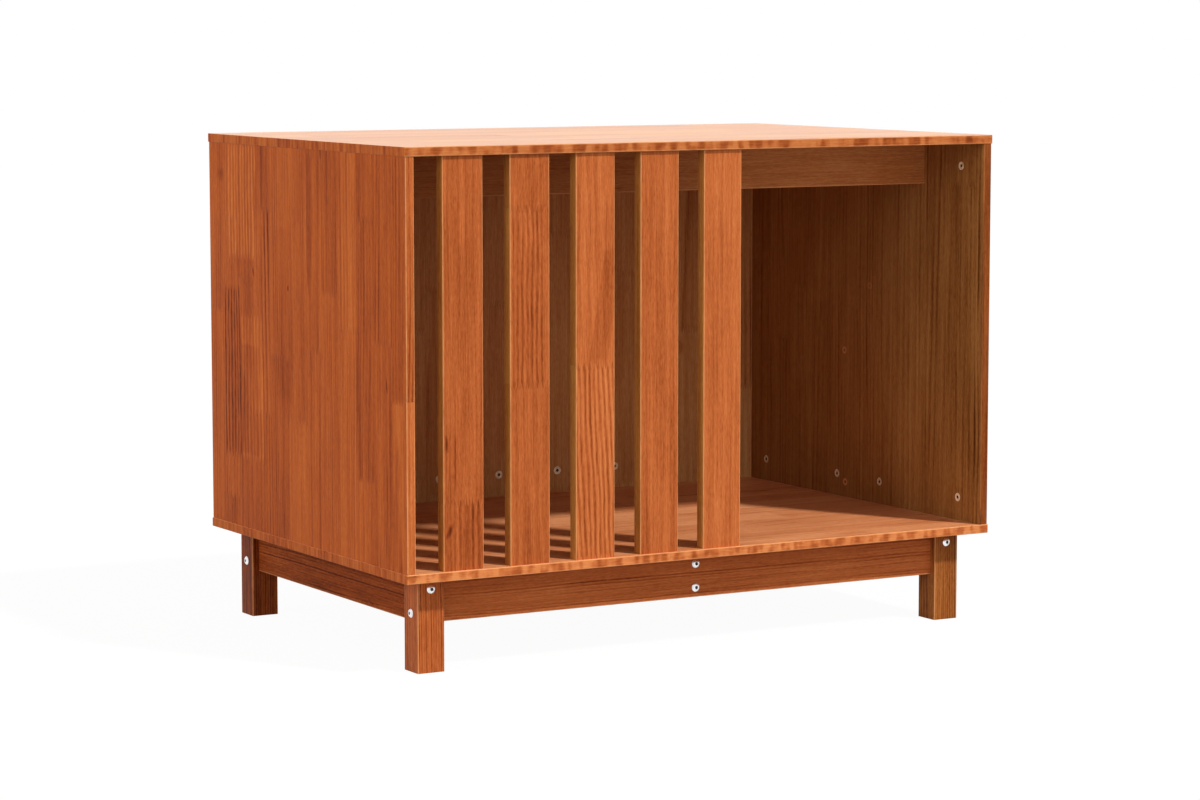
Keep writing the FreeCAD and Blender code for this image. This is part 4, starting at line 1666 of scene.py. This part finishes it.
@dataclass
class Studio:
    """A white floor and surround, a key lamp, two fills and the camera. Metres and degrees."""

    floor_reach: float = 14.0
    white: Shade = (1.0, 1.0, 1.0)
    floor_bounce: Shade = (0.4, 0.4, 0.4)
    floor_glow: float = 0.96
    surround_fill: float = 0.36
    lamps: tuple[Lamp, ...] = (
        Lamp("key_lamp", (0.36, -0.66, 0.92), 2.9, 4.0, True),
        Lamp("left_fill_lamp", (-0.93, -0.2, 0.32), 1.2, 40.0),
        Lamp("front_fill_lamp", (-0.25, -1.0, 0.25), 0.6, 60.0))
    camera_at: Triple = (-2.4336, -4.1982, 0.8325)
    camera_yaw: float = 30.14
    camera_pitch: float = 6.24
    camera_lens: float = 105.6
    camera_sensor: float = 36.0

    def _floor(self) -> None:
        """Lay a pale floor that keeps the shadow and is white to the camera."""
        graph = ShaderGraph(bpy.data.materials.new("studio_paper"))
        path = graph.node("LightPath").outputs
        seen = graph.math("MAXIMUM", path["Is Camera Ray"], path["Is Glossy Ray"])
        colour = graph.tint(path["Is Camera Ray"], self.floor_bounce, self.white)
        paper = graph.node("BsdfDiffuse", {"Color": colour})
        glow = graph.node("Emission", {"Color": self.white, "Strength": 1.0})
        mixed = graph.node("MixShader", {0: seen * self.floor_glow, 1: paper.outputs[0], 2: glow.outputs[0]})
        graph.node("OutputMaterial", {"Surface": mixed.outputs[0]})
        grid = bmesh.new()
        bmesh.ops.create_grid(grid, x_segments=1, y_segments=1, size=self.floor_reach)
        show_mesh("studio_floor", grid, (graph.owner,))

    def _surround(self) -> None:
        """Make the surround white where it is seen, and a soft fill where it lights."""
        world = bpy.data.worlds.new("studio_surround")
        bpy.context.scene.world = world
        graph = ShaderGraph(world)
        path = graph.node("LightPath").outputs
        seen = path["Is Camera Ray"]
        for name in ("Is Glossy Ray", "Is Transmission Ray"):
            seen = graph.math("MAXIMUM", seen, path[name])
        ends = {"Value": seen, "To Min": self.surround_fill, "To Max": 1.0}
        strength = graph.node("MapRange", ends).outputs[0]
        background = graph.node("Background", {"Color": self.white, "Strength": strength})
        graph.node("OutputWorld", {"Surface": background.outputs[0]})

    def _light(self, lamp: Lamp) -> None:
        """Add one lamp.

        Args:
            lamp: What it is like. It shows in gloss only if it glints.
        """
        light = bpy.data.lights.new(lamp.name, "SUN")
        light.energy = lamp.strength
        light.angle = math.radians(lamp.spread)
        made = show(lamp.name, light)
        made.rotation_euler = Vector(lamp.comes_from).to_track_quat("Z", "Y").to_euler()
        made.visible_glossy = lamp.glints

    def _camera(self) -> None:
        """Add the camera at the photograph's angle."""
        data = bpy.data.cameras.new("studio_camera")
        data.lens = self.camera_lens
        data.sensor_width = self.camera_sensor
        camera = show("studio_camera", data)
        camera.location = self.camera_at
        turn = (math.radians(90.0 - self.camera_pitch), 0.0, math.radians(-self.camera_yaw))
        camera.rotation_euler = Euler(turn)
        bpy.context.scene.camera = camera

    def build(self) -> None:
        """Build the floor, the surround, the lamps and the camera."""
        bpy.context.scene.view_settings.view_transform = "Standard"
        self._floor()
        self._surround()
        for lamp in self.lamps:
            self._light(lamp)
        self._camera()
        LOG.info("studio ready")


def main() -> None:
    """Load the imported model, finish its pieces and set up the studio."""
    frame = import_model()
    nodes = FrameNodes(frame)
    for group in (CabinBoards(), SlatFront(), InnerRail(), BaseRails(), Legs(), BarrelNuts()):
        group.dress(nodes)
    base, cabin = BaseJoints(), CabinJoints()
    for fasteners in (Bolts(base), FloorScrews(base), CamLocks(cabin), CamPins(cabin), Dowels(base, cabin)):
        fasteners.build()
    Studio().build()


if __name__ == "__main__":
    main()
